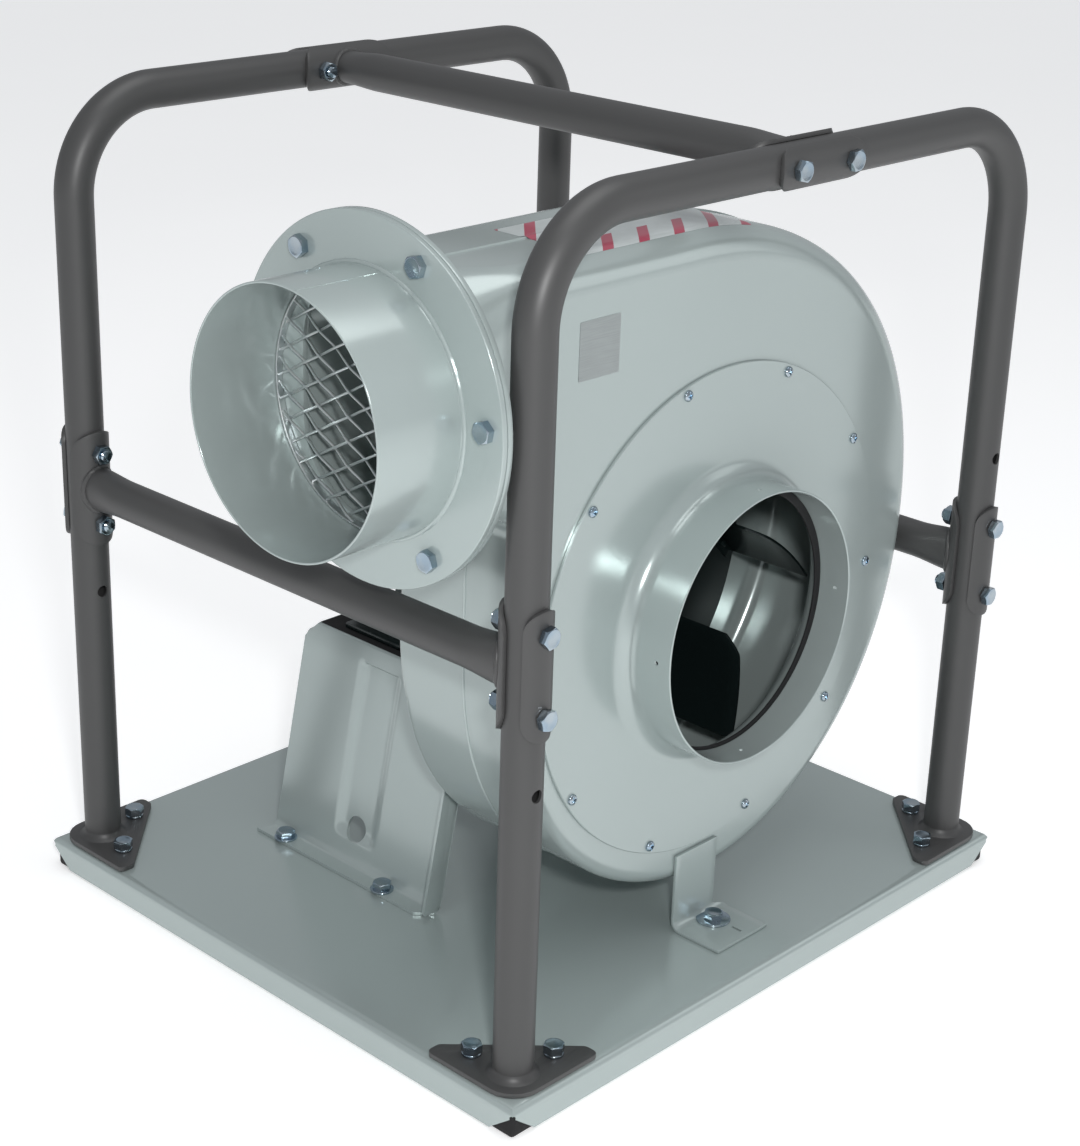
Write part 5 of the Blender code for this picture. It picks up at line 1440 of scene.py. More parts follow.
    def striped_label(self, shells: Sequence[Piece]) -> None:
        """Drape a bare label with a striped border over the top of both halves.

        Args:
            shells: The two halves, which it lies on.
        """
        left, right, near, far = self.label
        columns, steps = 56, 53
        rows = []
        for column in range(columns + 1):
            x = SHAFT.x + left + (right - left) * column / columns
            row = []
            for step in range(steps + 1):
                y = near + (far - near) * step / steps
                hits = (shell.ray_cast(Vector((x, y, 1)), Vector((0, 0, -1))) for shell in shells)
                crown = max(place.z for found, place, _, _ in hits if found)
                ridge = self.seam_radius * max(0.0, 1.15 - abs(y - self.seam) / 0.004)
                row.append(Vector((x, y, crown + 0.0002 + ridge)))
            rows.append(row)
        label = skin("striped_label", rows, loop=False, ends=False)
        face_away(label, label.data.polygons[0], UP)
        thicken(label, 0.00012)
        unwrap(label, lambda point: (point.x - SHAFT.x - left, point.y - near))
        dress(label, STRIPED_FOIL)

    def foil_plate(self) -> None:
        """Bare foil plate on the front panel."""
        left, right, bottom, top = -0.154, -0.116, 0.474, 0.513
        middle = Vector((SHAFT.x + (left + right) / 2, self.front - 0.00018, (bottom + top) / 2))
        half_width, half_height = (right - left) / 2, (top - bottom) / 2
        foil = plate("foil_plate", [oblong(half_width, half_height, 0.001, 4)], 0.0002,
                     Matrix.Translation(middle) @ STAND, 0.0)
        unwrap(foil, lambda point: (point.x - middle.x + half_width, point.z - middle.z + half_height))
        dress(foil, PLAIN_FOIL)


def face_away(item: Piece, face: bpy.types.MeshPolygon, way: Vector) -> None:
    """Flip a sheet's faces where one of them looks against a way."""
    if face.normal.dot(way) < 0:
        item.data.flip_normals()


def unwrap(item: Piece, place: Callable[[Vector], Pair]) -> None:
    """Give a piece a UV map from a rule on its points."""
    layer = item.data.uv_layers.get("UVMap") or item.data.uv_layers.new(name="UVMap")
    for loop in item.data.loops:
        layer.data[loop.index].uv = place(item.data.vertices[loop.vertex_index].co)


@dataclass
class Outlet:
    """Outlet spigot with its bolted flange and the woven guard inside it."""

    works: FastenerWork
    flange_wall: float = 0.004
    bolt_circle: float = 0.105
    bolts: int = 6
    bolt_angle: float = math.radians(4)
    spigot_radius: float = 0.086
    wall: float = 0.0015
    pitch: float = 0.0163
    wire: float = 0.0009
    wires: int = 11
    crimp: float = 0.0009
    crossing: Triple = (0.0433, 0.0361, 0.0)
    turns: Pair = (math.radians(-28.9), math.radians(31.3))
    rim: float = 0.0014
    nut: float = 0.004

    def build(self) -> None:
        """Make the spigot, the guard and the bolts."""
        low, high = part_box("outlet_collar")
        at = Vector((high.x, (low.y + high.y) / 2, (low.z + high.z) / 2))
        way = Vector((-1, 0, 0))
        radius = (high.z - low.z) / 2
        length = high.x - low.x
        inner = self.spigot_radius - self.wall
        soft = 0.0007
        section = rounded([(inner, 0, soft), (radius, 0, soft), (radius, self.flange_wall, soft),
                           (self.spigot_radius, self.flange_wall, 0.003),
                           (self.spigot_radius, length, 0.0006), (inner, length, 0.0006)], 5)
        collar = lathe("outlet_spigot", section, at, way, 160)
        parts = [collar]
        for bow, begin, seed in ((inner, MILLI, 3), (self.spigot_radius, 2 * self.flange_wall, 4)):
            parts.append(bead("seam", self.seam_path(at, bow, length, begin), 0.0005, seed))
        ring = [at + way * self.flange_wall + Vector((0, y, z))
                for y, z in circle(self.spigot_radius + 0.001, 180)]
        parts.append(bead("weld", ring, 0.0018, 8))
        dress(join("outlet_spigot", parts), CASING_PAINT, replaces=("outlet_collar",))
        self.guard(at, way)
        self.fasten(at, way)

    @staticmethod
    def seam_path(at: Vector, radius: float, length: float, start: float) -> list[Vector]:
        """Line of the rolled sheet's seam, there and back, at the top of the spigot."""
        angle = math.radians(100)
        y, z = radius * math.cos(angle), radius * math.sin(angle)
        steps = 40
        line = [at + Vector((-start - (length - start - 0.001) * step / steps, y, z))
                for step in range(steps + 1)]
        back = [point + Vector((0, 0.0003, 0)) for point in reversed(line)]
        return line + back

    def guard(self, at: Vector, way: Vector) -> None:
        """Woven wires in their rim."""
        low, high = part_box("outlet_guard")
        outer = (high.z - low.z) / 2
        depth = high.x - low.x
        middle = Vector(((low.x + high.x) / 2, at.y, at.z))
        section = rounded([(outer - self.rim, -depth / 2, 0.0004), (outer, -depth / 2, 0.0004),
                           (outer, depth / 2, 0.0004), (outer - self.rim, depth / 2, 0.0004)], 3)
        rim = lathe("rim", section, middle, way, 128)
        work = WovenWork()
        values = {"Pitch": self.pitch, "Reach": outer - self.rim / 2, "Wire radius": self.wire,
                  "Crimp": self.crimp, "Count": self.wires, "Origin": self.crossing,
                  "Turn 1": self.turns[0], "Turn 2": self.turns[1], "Finish": WIRE.material()}
        wires = work.make("wires", bpy.data.meshes.new("wires"), values)
        turn = Matrix(((0, 0, 1), (1, 0, 0), (0, 1, 0))).to_4x4()
        wires.data.transform(Matrix.Translation(middle) @ turn)
        dress(join("woven_guard", (rim, wires)), WIRE, replaces=("outlet_guard",))

    def fasten(self, at: Vector, way: Vector) -> None:
        """Six bolts with their nuts behind the flange ring."""
        ring = circle(self.bolt_circle, self.bolts, self.bolt_angle)
        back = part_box("casing_flange")[1].x
        heads = [(Vector((at.x - self.flange_wall, at.y - y, at.z + z)), way) for y, z in ring]
        nuts = [(Vector((back, at.y - y, at.z + z)), -way) for y, z in ring]
        parts = [self.works.fasten("heads", heads, Fastener(), 21),
                 self.works.fasten("nuts", nuts, Fastener(head=self.nut, end=MILLI), 22)]
        nodes = [f"outlet_bolt_{number}" for number in range(1, self.bolts + 1)]
        dress(join("outlet_bolts", parts), ZINC, replaces=nodes)


@dataclass
class Inlet:
    """Cover disc drawn out into the inlet spigot, its screws and the black ring in its throat, which is
    partly painted shade of the gap behind the cover.
    """

    works: FastenerWork
    wall: float = 0.002
    spigot_radius: float = 0.100
    spigot_wall: float = 0.0015
    fillet: float = 0.014
    screw_circle: float = 0.1762
    screws: int = 10
    screw_angle: float = math.radians(-2.5)
    duct_hole: float = 0.0016
    duct_hole_depth: float = 0.0120
    # Wall, swell and heaviest angle of the black throat ring; the swell and part of the wall are painted
    # shade of the gap behind the cover.
    ring_and_gap_shade_wall: float = 0.0042
    gap_shade_swell: float = 0.0022
    gap_shade_heavy: float = math.radians(35)
    ring_depth: float = 0.002

    def build(self) -> None:
        """Make the cover, the black ring with its painted gap shade, and the screws."""
        low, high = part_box("inlet_cover")
        face, rim, radius = high.y, low.y, (high.z - low.z) / 2
        front = face - self.wall
        outer, inner = self.spigot_radius, self.spigot_radius - self.spigot_wall
        soft = 0.0005
        root = (outer + self.fillet, front - self.fillet)
        swell = self.fillet + self.spigot_wall
        section = [(radius, face), (radius, front + soft), (radius - soft, front)]
        section += arc(root, self.fillet, math.pi / 2, math.pi, 14)
        section += [(outer, rim + soft), (outer - soft, rim), (inner + soft, rim), (inner, rim + soft)]
        section += arc(root, swell, math.pi, math.pi / 2, 14)
        section += [(outer + self.fillet + self.wall, face)]
        cover = lathe("inlet_disc", section, SHAFT, steps=192)
        drills = []
        for y, z in circle(outer, 4):
            place = Vector((SHAFT.x + y, rim + self.duct_hole_depth, SHAFT.z + z))
            drills.append(rod("drill", place, Vector((y, 0, z)), self.duct_hole, 0.01, 16))
        dress(combine(cover, drills), CASING_PAINT, replaces=("inlet_cover",))
        # Black throat ring: partly a real ring and partly painted shade. Its wall is thick on one side and
        # thin on the other, copying the changing width of the shadow in the gap behind the cover's inner
        # edge.
        seat = inner - 0.0003
        deep = front - self.fillet
        rows = []
        for c, s in circle(1, 160):
            wall = self.ring_and_gap_shade_wall + self.gap_shade_swell * math.cos(math.atan2(s, c) - self.gap_shade_heavy)
            line = rounded([(seat - wall, deep - self.ring_depth, 0.0007),
                            (seat, deep - self.ring_depth, 0.0007), (seat, deep, 0.0007),
                            (seat - wall, deep, 0.0007)], 4)
            rows.append([SHAFT + Vector((r * c, y, r * s)) for r, y in line])
        seal_and_gap_shade = skin("throat_seal", rows, ends=False, wrap=True)
        dress(seal_and_gap_shade, RUBBER, replaces=("throat_ring",))
        ring = circle(self.screw_circle, self.screws, self.screw_angle)
        seats = [(place, FRONT) for place in at_shaft(ring, front)]
        dress(self.works.fasten("cover_screws", seats, PanScrew(), 31), ZINC)


@dataclass
class Wheel:
    """Impeller: a back disc with bowed blades that lean backwards, its hub and its bolt."""

    works: FastenerWork
    wall: float = 0.002
    blades: int = 7
    offset: float = 0.078
    inner_radius: float = 0.096
    width: float = 0.075
    cut_length: float = 0.016
    cut_width: float = 0.012
    bow: float = 0.0045
    flange_radius: float = 0.036
    flange_wall: float = 0.005
    rivet_circle: float = 0.028
    blade_tab: float = 0.010

    def build(self) -> None:
        """Make the wheel, its rivets, the hub and the bolt."""
        low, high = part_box("impeller")
        back = high.y
        face = back - self.wall
        radius = (high.z - low.z) / 2
        bore = 0.0133
        disc = rounded([(bore, face, 0), (bore, back, 0), (radius, back, 0.0007),
                        (radius, face, 0.0007)], 3)
        parts = [lathe("disc", disc, SHAFT, steps=160)]
        start = math.sqrt(self.inner_radius**2 - self.offset**2)
        end = math.sqrt(radius**2 - (self.offset + self.wall) ** 2)
        front = face - self.width
        columns, steps = 40, 6
        half = (end - start) / 2
        bows = [self.bow * (1 - (2 * column / columns - 1) ** 2) for column in range(columns + 1)]
        rivets = []
        for index in range(self.blades):
            angle = -2 * math.pi * index / self.blades
            away = Vector((math.cos(angle), 0, math.sin(angle)))
            along = Vector((math.sin(angle), 0, -math.cos(angle)))
            base = SHAFT + away * self.offset
            blade_rows, foot_rows = [], []
            for column, bow in enumerate(bows):
                reach = column / columns * 2 * half
                crest = base + along * (start + reach) + away * bow
                cut = max(0.0, 1 - reach / self.cut_length)
                edge_y = front + self.cut_width * cut ** 1.4
                blade_rows.append([crest + Vector((0, face + (edge_y - face) * step / steps, 0))
                                   for step in range(steps + 1)])
                foot_rows.append([crest + Vector((0, face - self.wall / 2, 0)) - away * inward
                                  for inward in (0, self.blade_tab)])
            for name, rows in (("blade", blade_rows), ("blade_foot", foot_rows[2:-2])):
                sheet = skin(name, rows, loop=False, ends=False)
                thicken(sheet, self.wall, 0.0004)
                parts.append(sheet)
            for share in (8, 20, 32):
                spot = base + along * (start + 2 * half * share / columns)
                spot += away * (bows[share] - self.blade_tab / 2)
                rivets.append((spot + Vector((0, face - self.wall, 0)), FRONT))
        dress(join("wheel", parts), WHEEL_PAINT, Body.ROTOR, ("impeller",))
        heads = self.works.fasten("wheel_rivets", rivets, Rivet(), 41, WHEEL_PAINT)
        dress(heads, WHEEL_PAINT, Body.ROTOR)
        hub_low, hub_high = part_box("impeller_hub")
        seat = 0.0073
        hub = rounded([(seat, hub_low.y, 0.0003), (0.013, hub_low.y, 0.0006), (0.013, back, 0),
                       (self.flange_radius, back, 0.0006),
                       (self.flange_radius, back + self.flange_wall, 0.0008),
                       (0.017, back + self.flange_wall, 0.002), (0.017, hub_high.y, 0.0008),
                       (seat, hub_high.y, 0.0003)], 4)
        dress(lathe("wheel_hub", hub, SHAFT, steps=96), WHEEL_PAINT, Body.ROTOR, ("impeller_hub",))
        hub_rivets = [(place, FRONT) for place in at_shaft(circle(self.rivet_circle, 6), face)]
        head = Fastener(flats=0.010, head=0.004, washer_radius=0.012, washer=0.0025)
        bolt_seat = hub_low.y - 0.0003
        centre = [(Vector((SHAFT.x, bolt_seat, SHAFT.z)), FRONT)]
        shank = rod("shank", Vector((SHAFT.x, bolt_seat + 0.008, SHAFT.z)), BACK, 0.003, 0.017)
        parts = [self.works.fasten("centre", centre, head, 2), shank]
        dress(join("wheel_bolt", parts), ZINC, Body.ROTOR, ("hub_bolt",))
        heads = self.works.fasten("hub_rivets", hub_rivets, Rivet(), 3, WHEEL_PAINT)
        dress(heads, WHEEL_PAINT, Body.ROTOR)


@dataclass
class Motor:
    """Foot-mounted motor: finned body, end shields, cowl, terminal box and what turns inside."""

    works: FastenerWork
    core: float = 0.0635
    tip: float = 0.0695
    bore: float = 0.0605
    fins: int = 24
    fin_root: float = 0.34
    fin_tip: float = 0.2
    shaft_height: float = 0.071
    foot_width: float = 0.034
    foot_wall: float = 0.009
    foot_length: float = 0.108
    foot_half_span: float = 0.070
    web: float = 0.014
    pad_length: float = 0.070
    pad_width: float = 0.060
    shield_radius: float = 0.0665
    cowl_wall: float = 0.0015
    cowl_edge: float = 0.006
    slot_start: float = 0.014
    slot: float = 0.005
    slot_pitch: float = 0.013
    spokes: int = 4
    spoke: float = 0.006
    box_edge: float = 0.004

    def __post_init__(self) -> None:
        """Read the motor's places from the frame."""
        self.front, self.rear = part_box("motor_frame")[0].y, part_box("motor_frame")[1].y
        self.middle = (self.front + self.rear) / 2

    def upright(self, y: float) -> Matrix:
        """Place for a plate that stands across the shaft at a distance along it."""
        return Matrix.Translation((SHAFT.x, y, SHAFT.z)) @ STAND

    def body(self) -> None:
        """Finned barrel with its feet and the pad of the terminal box."""
        length = self.rear - self.front
        barrel = rounded([(self.bore, self.front, 0), (self.core, self.front, 0.0006),
                          (self.core, self.rear, 0.0006), (self.bore, self.rear, 0)], 3)
        parts = [lathe("barrel", barrel, SHAFT, steps=144)]
        pitch = 2 * math.pi / self.fins
        root, tip = self.fin_root * pitch * self.core, self.fin_tip * pitch * self.tip
        inner = (self.bore + self.core) / 2 - self.core
        height = self.tip - self.core
        outline = rounded([(inner, -root, 0), (height, -tip, 0.0012), (height, tip, 0.0012),
                           (inner, root, 0)], 4)
        rib = plate("rib", [outline], length, Matrix(), 0.0005)
        work = RibWork()
        values = {"Count": self.fins, "Radius": self.core, "Rib": rib, "Finish": MOTOR_PAINT.material()}
        ribs = work.make("ribs", bpy.data.meshes.new("ribs"), values)
        ribs.data.transform(self.upright(self.middle))
        discard(rib)
        parts.append(ribs)
        sole = -self.shaft_height
        outer, near = self.foot_half_span, self.foot_half_span - self.foot_width
        chest = -(self.bore + self.core) / 2 * math.sin(math.pi / 4)
        for side in (-1, 1):
            foot = rounded([(near, sole, 0.001), (outer, sole, 0.001), (outer, sole + self.foot_wall, 0.003),
                            (near + self.web, sole + self.foot_wall, 0.006), (-chest, chest, 0),
                            (-chest - self.web / 2, chest - self.web / 3, 0)], 4)
            line = [(side * x, z) for x, z in foot]
            parts.append(plate("foot", [line], self.foot_length, self.upright(self.middle), 0.001))
        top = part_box("terminal_box")[0].z - SHAFT.z - 0.0003
        half = Vector((self.pad_width / 2, self.pad_length / 2, 0))
        centre = Vector((SHAFT.x, self.middle, SHAFT.z))
        parts.append(block("pad", centre - half + Vector((0, 0, self.bore)),
                           centre + half + Vector((0, 0, top)), 0.002))
        dress(join("motor_barrel", parts), MOTOR_PAINT, replaces=("motor_frame",))
        crest = SHAFT.z + sole + self.foot_wall
        seats = [(Vector((SHAFT.x + side * 0.056, self.middle + step, crest)), UP)
                 for side in (-1, 1) for step in (-0.045, 0.045)]
        head = Fastener(flats=0.010, head=0.004, washer_radius=0.007, washer=0.0014)
        dress(self.works.fasten("motor_foot_bolts", seats, head, 51), ZINC)

    def shields(self) -> None:
        """Cast end shields with their screws."""
        for node, way in (("front_end_shield", -1), ("rear_end_shield", 1)):
            low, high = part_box(node)
            rim, nose = (high.y, low.y) if way < 0 else (low.y, high.y)
            depth, edge = abs(nose - rim), self.shield_radius
            section = rounded([(0.0182, 0, 0), (0.024, 0, 0.0005), (0.0665, 0, 0.0008),
                               (edge, 0.008, 0.0016), (edge - 0.005, 0.0085, 0.002),
                               (0.030, 0.0115, 0.006), (0.024, depth, 0.0012), (0.010, depth, 0.0006),
                               (0.010, depth - 0.005, 0), (0.0182, depth - 0.005, 0)], 5)
            out = Vector((0, way, 0))
            shield = lathe(f"{node}_cast", section, Vector((SHAFT.x, rim, SHAFT.z)), out, 128)
            dress(shield, MOTOR_PAINT, replaces=(node,))
            ring = circle(0.055, 4, math.pi / 4)
            seats = [(place, out) for place in at_shaft(ring, rim + way * 0.0095)]
            dress(self.works.fasten(f"{node}_screws", seats, PanScrew(0.0045, 0.003), 52), ZINC)

    def cowl(self) -> None:
        """Fan cowl with slotted end and its screws."""
        low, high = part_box("fan_cowl")
        radius = (high.z - low.z) / 2
        lining = radius - self.cowl_wall
        start, end = low.y, high.y
        section = rounded([(lining, start, 0.0004), (radius, start, 0.0004),
                           (radius, end, self.cowl_edge), (0, end, 0), (0, end - self.cowl_wall, 0),
                           (lining, end - self.cowl_wall, self.cowl_edge - self.cowl_wall)], 6)
        cowl = lathe("cowl_pressed", section, SHAFT, steps=128)
        tools = []
        quarter = 2 * math.pi / self.spokes
        for ring in range(3):
            inner = self.slot_start + ring * self.slot_pitch
            outer = inner + self.slot
            trim = self.spoke / inner / 2
            for spoke in range(self.spokes):
                rows = []
                for step in range(15):
                    angle = quarter * spoke + trim + (quarter - 2 * trim) * step / 14
                    way = Vector((math.cos(angle), 0, math.sin(angle)))
                    near, far = Vector((0, end - 0.006, 0)), Vector((0, end + 0.006, 0))
                    rows.append([SHAFT + way * inner + near, SHAFT + way * outer + near,
                                 SHAFT + way * outer + far, SHAFT + way * inner + far])
                tools.append(skin("slot", rows))
        combine(cowl, tools)
        dress(cowl, PLASTIC, replaces=("fan_cowl",))
        seats = [(Vector((SHAFT.x + radius * x, start + 0.008, SHAFT.z + radius * z)), Vector((x, 0, z)))
                 for x, z in circle(1, 3, math.pi / 2 + math.pi / 3)]
        dress(self.works.fasten("cowl_screws", seats, PanScrew(0.0035, 0.0022), 53), ZINC)

    def terminals(self) -> None:
        """Terminal box, its lid with four screws, and the cable gland."""
        low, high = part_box("terminal_box")
        dress(block("terminal_case", low, high, self.box_edge, 5), MOTOR_PAINT, replaces=("terminal_box",))
        low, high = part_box("terminal_box_lid")
        dress(block("terminal_lid", low, high, self.box_edge / 2, 4), MOTOR_PAINT,
              replaces=("terminal_box_lid",))
        inset = 0.009
        seats = [(Vector((x, y, high.z)), UP) for x in (low.x + inset, high.x - inset)
                 for y in (low.y + inset, high.y - inset)]
        dress(self.works.fasten("lid_screws", seats, PanScrew(0.0038, 0.0024), 54), ZINC)
        low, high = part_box("cable_gland")
        radius, length = (high.z - low.z) / 2, high.x - low.x
        at = Vector((low.x, (low.y + high.y) / 2, (low.z + high.z) / 2))
        rows = []
        for along, share in ((0, 0.9), (0.0008, 1), (length / 3 - 0.0008, 1), (length / 3, 0.9)):
            rows.append([at + Vector((along, y, z)) for y, z in circle(radius * share, 6)])
        section = rounded([(0.005, length / 3 - 0.001, 0), (radius * 0.82, length / 3 - 0.001, 0),
                           (radius * 0.86, length * 0.72, 0.002), (0.0062, length, 0.0008),
                           (0.005, length, 0)], 5)
        dome = lathe("dome", section, at, Vector((1, 0, 0)), 64)
        dress(join("gland_nut", (skin("nut", rows, sharp=25), dome)), PLASTIC, replaces=("cable_gland",))

    def build(self) -> None:
        """Make the whole motor and dress what turns inside it."""
        self.body()
        self.shields()
        self.cowl()
        self.terminals()
        repaint(("front_bearing", "rear_bearing", "motor_shaft"), STEEL)
        repaint(("motor_stator", "motor_rotor"), LAMINATIONS)
        repaint(("cooling_fan",), PLASTIC)


@dataclass
class Pedestal:
    """Folded sheet pedestal with pressed side channels, and the plate that carries the motor."""

    works: FastenerWork
    sheet: float = 0.0025
    top_half: float = 0.104
    base_half: float = 0.139
    flange: float = 0.0145
    shift: float = 0.005
    rear: float = 0.1455
    rear_cut: float = 0.0145
    front_flange: float = 0.0145
    front_drop: float = 0.012
    channel_front: float = 0.038
    channel_rear: float = 0.077
    channel_foot: float = 0.045
    channel_depth: float = 0.003
    slope: float = 0.009
    cap: float = 0.012
    cap_lap: float = 0.0008
    corner_cut: float = 0.011
    hole: float = 0.010
    hole_back: float = 0.059
    hole_height: float = 0.054
    bend: float = 0.003
    bolt_out: float = 0.0085
    bolt_places: Pair = (0.011, 0.123)
    # Inset from the pedestal's front of the black mat, which is partly painted shade.
    mat_and_shade_inset: float = 0.004

    def __post_init__(self) -> None:
        """Read the pedestal's places from the frame."""
        low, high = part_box("pedestal")
        self.front, self.flange_rear, self.top = low.y + self.shift, high.y + self.shift, high.z
        self.floor = low.z + self.sheet
        self.lean = (self.base_half - self.top_half) / (self.top - self.floor)

    def side(self, height: float) -> float:
        """Half width of the outer side at a height."""
        return self.base_half - self.lean * (height - self.floor)

    def line(self) -> list[Triple]:
        """Right half of the section as (x, z, how far the channel reaches there)."""
        points = rounded([(0, self.top, 0), (self.top_half, self.top, self.bend),
                          (self.side(self.top - self.cap), self.top - self.cap, 0)], 6, loop=False)
        made = [(x, z, 0.0) for x, z in points]
        steps = 60
        start, stop = self.top - self.cap - 0.0004, self.floor + self.bend
        for step in range(steps + 1):
            z = start + (stop - start) * step / steps
            share = blend_step((z - self.channel_foot) / self.slope)
            lap = self.cap_lap * blend_step((self.top - self.cap - z) / 0.0003)
            lap *= blend_step((z - self.floor) / self.slope)
            made.append((self.side(z) - lap, z, share if step > 1 else 0.0))
        foot = arc((self.base_half + self.bend, self.floor + self.bend), self.bend, math.pi,
                   1.5 * math.pi, 5)
        made += [(x, z, 0.0) for x, z in foot[1:]]
        made.append((self.base_half + self.flange, self.floor, 0.0))
        return made

    def end_at(self, x: float, z: float) -> float:
        """Y of the rear edge at a place of the section."""
        if x > self.base_half + self.bend:
            return self.flange_rear
        return self.rear - max(0.0, self.rear_cut - (self.top - z))

    def build(self) -> None:
        """Make the pedestal, its bolts and the motor's plate."""
        line = self.line()
        rows = []
        knee = self.channel_rear + 0.010
        stations = [self.front + (knee - self.front) * step / 70 for step in range(71)]
        tail = [step / 8 for step in range(1, 9)]
        for number in range(len(stations) + len(tail)):
            row = []
            for sign, points in ((-1, list(reversed(line))), (1, line[1:])):
                for x, z, share in points:
                    end = self.end_at(x, z)
                    y = stations[number] if number < 71 else knee + (end - knee) * tail[number - 71]
                    dent = blend_step((y - self.channel_front) / self.slope + 0.5)
                    dent *= blend_step((self.channel_rear - y) / self.slope + 0.5)
                    reach = x - self.channel_depth * dent * share
                    row.append(Vector((SHAFT.x + sign * reach, y, z)))
            rows.append(row)
        sheet = skin("pedestal_folded", rows, loop=False, ends=False)
        crown = max(sheet.data.polygons, key=lambda face: (round(face.center.z, 5), face.area))
        face_away(sheet, crown, UP)
        thicken(sheet, self.sheet)
        reach = self.base_half + 0.01
        tools = [rod("hole", Vector((SHAFT.x, self.hole_back, self.hole_height)), Vector((1, 0, 0)),
                     self.hole, 2 * reach, 48)]
        for side in (-1, 1):
            corner = Vector((SHAFT.x + side * (self.base_half + self.flange), self.front, self.floor))
            half = self.corner_cut / math.sqrt(2)
            cutter = block("corner", Vector((-half, -half, -half)), Vector((half, half, MILLI)))
            cutter.data.transform(Matrix.Translation(corner) @ Matrix.Rotation(math.pi / 4, 4, "Z"))
            tools.append(cutter)
        combine(sheet, tools)
        parts = [sheet]
        peak = self.top - self.front_drop
        inner = self.sheet / 2 + self.cap_lap
        outline = rounded([(self.base_half - inner, self.floor, 0),
                           (self.base_half + self.front_flange, self.floor, 0.002),
                           (self.side(peak) + self.front_flange, peak, 0.002),
                           (self.side(peak) - inner, peak, 0)], 4)
        for side in (-1, 1):
            flat = [(side * x, z) for x, z in outline]
            place = Matrix.Translation((SHAFT.x, self.front + self.sheet / 2, 0))
            parts.append(plate("front_flange", [flat], self.sheet,
                               place @ STAND, 0.0006))
        dress(join("pedestal_folded", parts), CASING_PAINT, replaces=("pedestal",))
        low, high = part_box("motor_plate")
        dress(block("motor_bed", low, high, 0.0008, 2), WHEEL_PAINT, replaces=("motor_plate",))
        # Near-black mat on the pedestal's top, reaching nearly to its front edge: partly a guessed rubber mat
        # and partly painted shade, as it darkens the strip along the top edge where shade falls under the
        # motor.
        half = self.top_half - 0.0008
        mat_and_shade = block("motor_mat", Vector((SHAFT.x - half, self.front + self.mat_and_shade_inset, self.top)),
                    Vector((SHAFT.x + half, self.rear - self.rear_cut - MILLI, low.z)))
        dress(mat_and_shade, RUBBER)
        out = self.base_half + self.bolt_out
        seats = [(Vector((SHAFT.x + side * out, y, self.floor)), UP)
                 for side in (-1, 1) for y in self.bolt_places]
        dress(self.works.fasten("pedestal_bolts", seats, Fastener(washer_radius=0.009), 61), ZINC)


@dataclass
class Bracket:
    """Bent bracket between the tray and the front of the casing, with its bolt."""

    works: FastenerWork
    sheet: float = 0.0025
    left: float = -0.030
    right: float = 0.027
    tab_left: float = -0.030
    tab_right: float = 0.016
    tab_top: float = 0.088
    bend: float = 0.008
    shoulder: float = 0.005
    washer_radius: float = 0.0130
    bolt: Pair = (0.0025, -0.1905)
    slit: tuple[float, float, float, float] = (0.0032, 0.0055, -0.216, -0.207)

    def build(self) -> None:
        """Make the bracket and its bolt."""
        low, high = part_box("foot_bracket")
        line = rounded([(low.y, low.z + self.sheet, 0),
                        (high.y - self.sheet, low.z + self.sheet, self.bend - self.sheet),
                        (high.y - self.sheet, self.tab_top, 0)], 8, loop=False)
        fine: list[Pair] = []
        for (y0, z0), (y1, z1) in zip(line, line[1:]):
            steps = max(1, int(math.hypot(y1 - y0, z1 - z0) / 0.0008))
            fine += [(y0 + (y1 - y0) * step / steps, z0 + (z1 - z0) * step / steps)
                     for step in range(steps)]
        fine.append(line[-1])
        rows = []
        for y, z in fine:
            share = blend_step((z - low.z - self.shoulder + 0.002) / 0.004)
            near = self.left + (self.tab_left - self.left) * share
            far = self.right + (self.tab_right - self.right) * share
            rows.append([Vector((SHAFT.x + near + (far - near) * step / 8, y, z)) for step in range(9)])
        sheet = skin("bracket_bent", rows, loop=False, ends=False)
        lead = max(sheet.data.polygons, key=lambda face: abs(face.normal.z) * face.area)
        face_away(sheet, lead, UP)
        thicken(sheet, self.sheet, 0.0005)
        left, right, near_y, far_y = self.slit
        slit = block("slit", Vector((SHAFT.x + left, near_y, low.z - 0.01)),
                     Vector((SHAFT.x + right, far_y, low.z + 0.01)))
        combine(sheet, (slit,))
        dress(sheet, CASING_PAINT, replaces=("foot_bracket",))
        seat = Vector((SHAFT.x + self.bolt[0], self.bolt[1], low.z + self.sheet))
        head = Fastener(washer_radius=self.washer_radius)
        dress(self.works.fasten("bracket_bolt", [(seat, UP)], head, 71), ZINC)


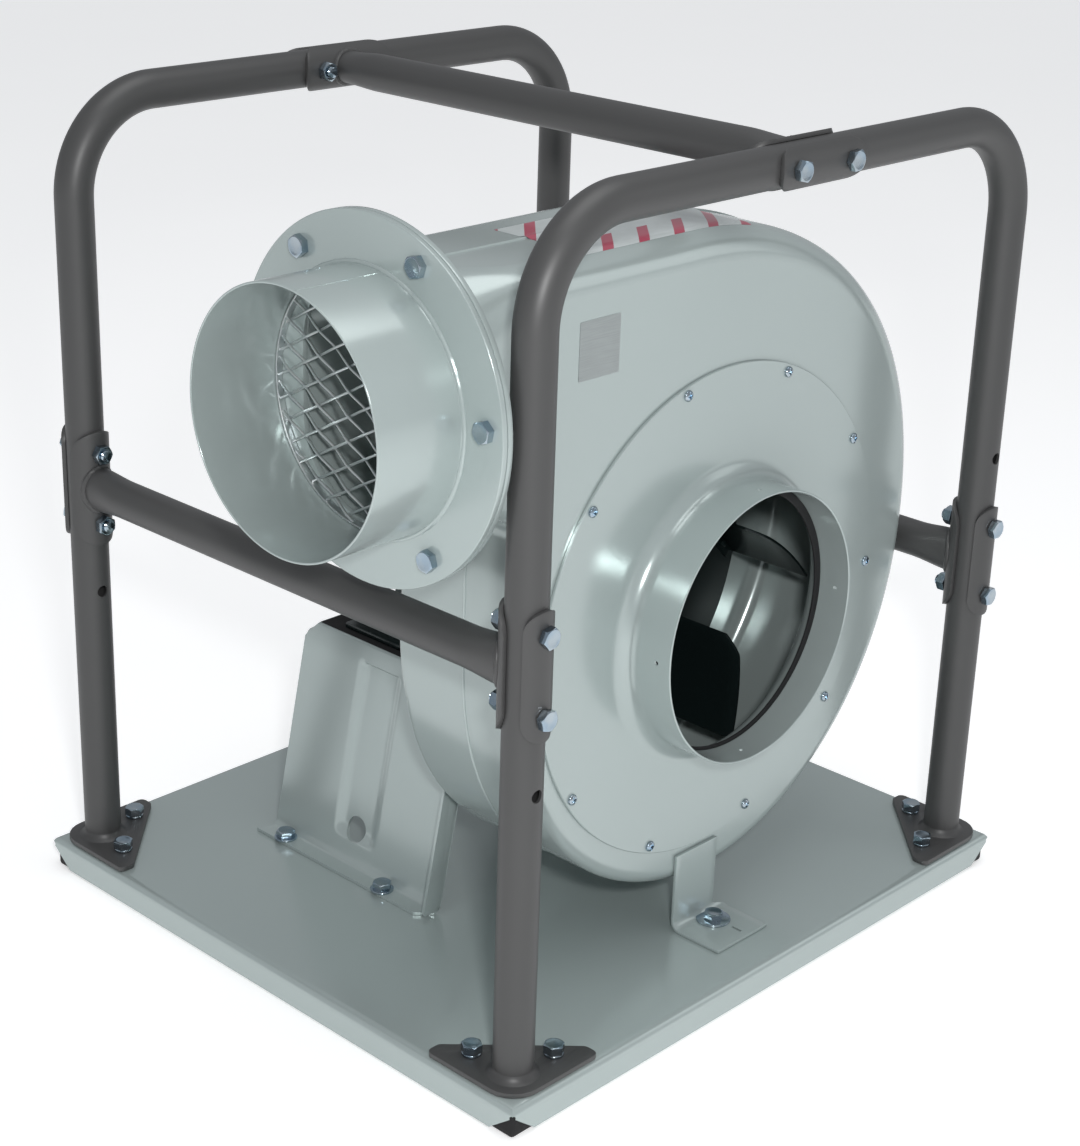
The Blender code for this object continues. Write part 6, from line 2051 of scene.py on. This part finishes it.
@dataclass
class Studio:
    """Pale floor, soft lights and the camera."""

    place: Triple = (-1.1393, -1.1016, 0.8973)
    yaw: float = 0.8189
    pitch: float = -0.3823
    roll: float = 0.0326
    focal: float = 2273.7
    image_height: float = 1146.0
    sensor: float = 36.0

    def camera(self) -> None:
        """Put the camera where the photograph was taken from."""
        along = Vector((math.sin(self.yaw) * math.cos(self.pitch),
                        math.cos(self.yaw) * math.cos(self.pitch), math.sin(self.pitch)))
        side = Vector((math.cos(self.yaw), -math.sin(self.yaw), 0))
        up = side.cross(along)
        turned_side = side * math.cos(self.roll) + up * math.sin(self.roll)
        turned_up = up * math.cos(self.roll) - side * math.sin(self.roll)
        data = bpy.data.cameras.new("camera")
        data.sensor_width = self.sensor
        data.lens = self.sensor * self.focal / self.image_height
        data.clip_start = 0.01
        item = show("camera", data)
        matrix = Matrix((turned_side, turned_up, -along)).transposed().to_4x4()
        matrix.translation = Vector(self.place)
        item.matrix_world = matrix
        bpy.context.scene.camera = item

    def light(self, name: str, place: Triple, size: Pair, power: float) -> None:
        """Hang a soft box that looks at the fan.

        Args:
            name: The light's name.
            place: Where it hangs.
            size: Its two sides.
            power: Its power in watts.
        """
        data = bpy.data.lights.new(name, "AREA")
        data.shape = "RECTANGLE"
        data.size, data.size_y = size
        data.energy = power
        item = show(name, data)
        item.location = place
        way = Vector((TRAY_MIDDLE, 0, SHAFT.z)) - Vector(place)
        item.rotation_euler = way.to_track_quat("-Z", "Y").to_euler()

    def build(self) -> None:
        """Make the floor, the world, the lights and the camera."""
        shape = bmesh.new()
        bmesh.ops.create_grid(shape, x_segments=1, y_segments=1, size=8)
        floor = solid("floor", shape)
        face_away(floor, floor.data.polygons[0], UP)
        floor.data.materials.append(Ground("studio_floor", "", (0.86, 0.86, 0.86), 0.6).material())
        world = bpy.data.worlds.new("studio")
        world.use_nodes = True
        background = world.node_tree.nodes["Background"]
        background.inputs["Color"].default_value = (0.93, 0.96, 1.0, 1.0)
        background.inputs["Strength"].default_value = 0.42
        bpy.context.scene.world = world
        self.light("key", (-1.08, -1.17, 1.03), (0.10, 0.10), 13)
        self.light("top", (0.1, -0.3, 2.6), (1.8, 1.4), 18)
        self.light("side", (1.9, -1.8, 1.3), (0.8, 1.4), 3)
        self.camera()


def main() -> None:
    """Build the fan's sub-assemblies in order."""
    logging.basicConfig(level=logging.INFO, format="%(message)s")
    bpy.context.scene.view_settings.view_transform = "Standard"
    Studio().build()
    works = FastenerWork()
    Tray().build()
    Cage(works).build()
    Casing().build()
    Outlet(works).build()
    Inlet(works).build()
    Wheel(works).build()
    Motor(works).build()
    Pedestal(works).build()
    Bracket(works).build()


if __name__ == "__main__":
    main()
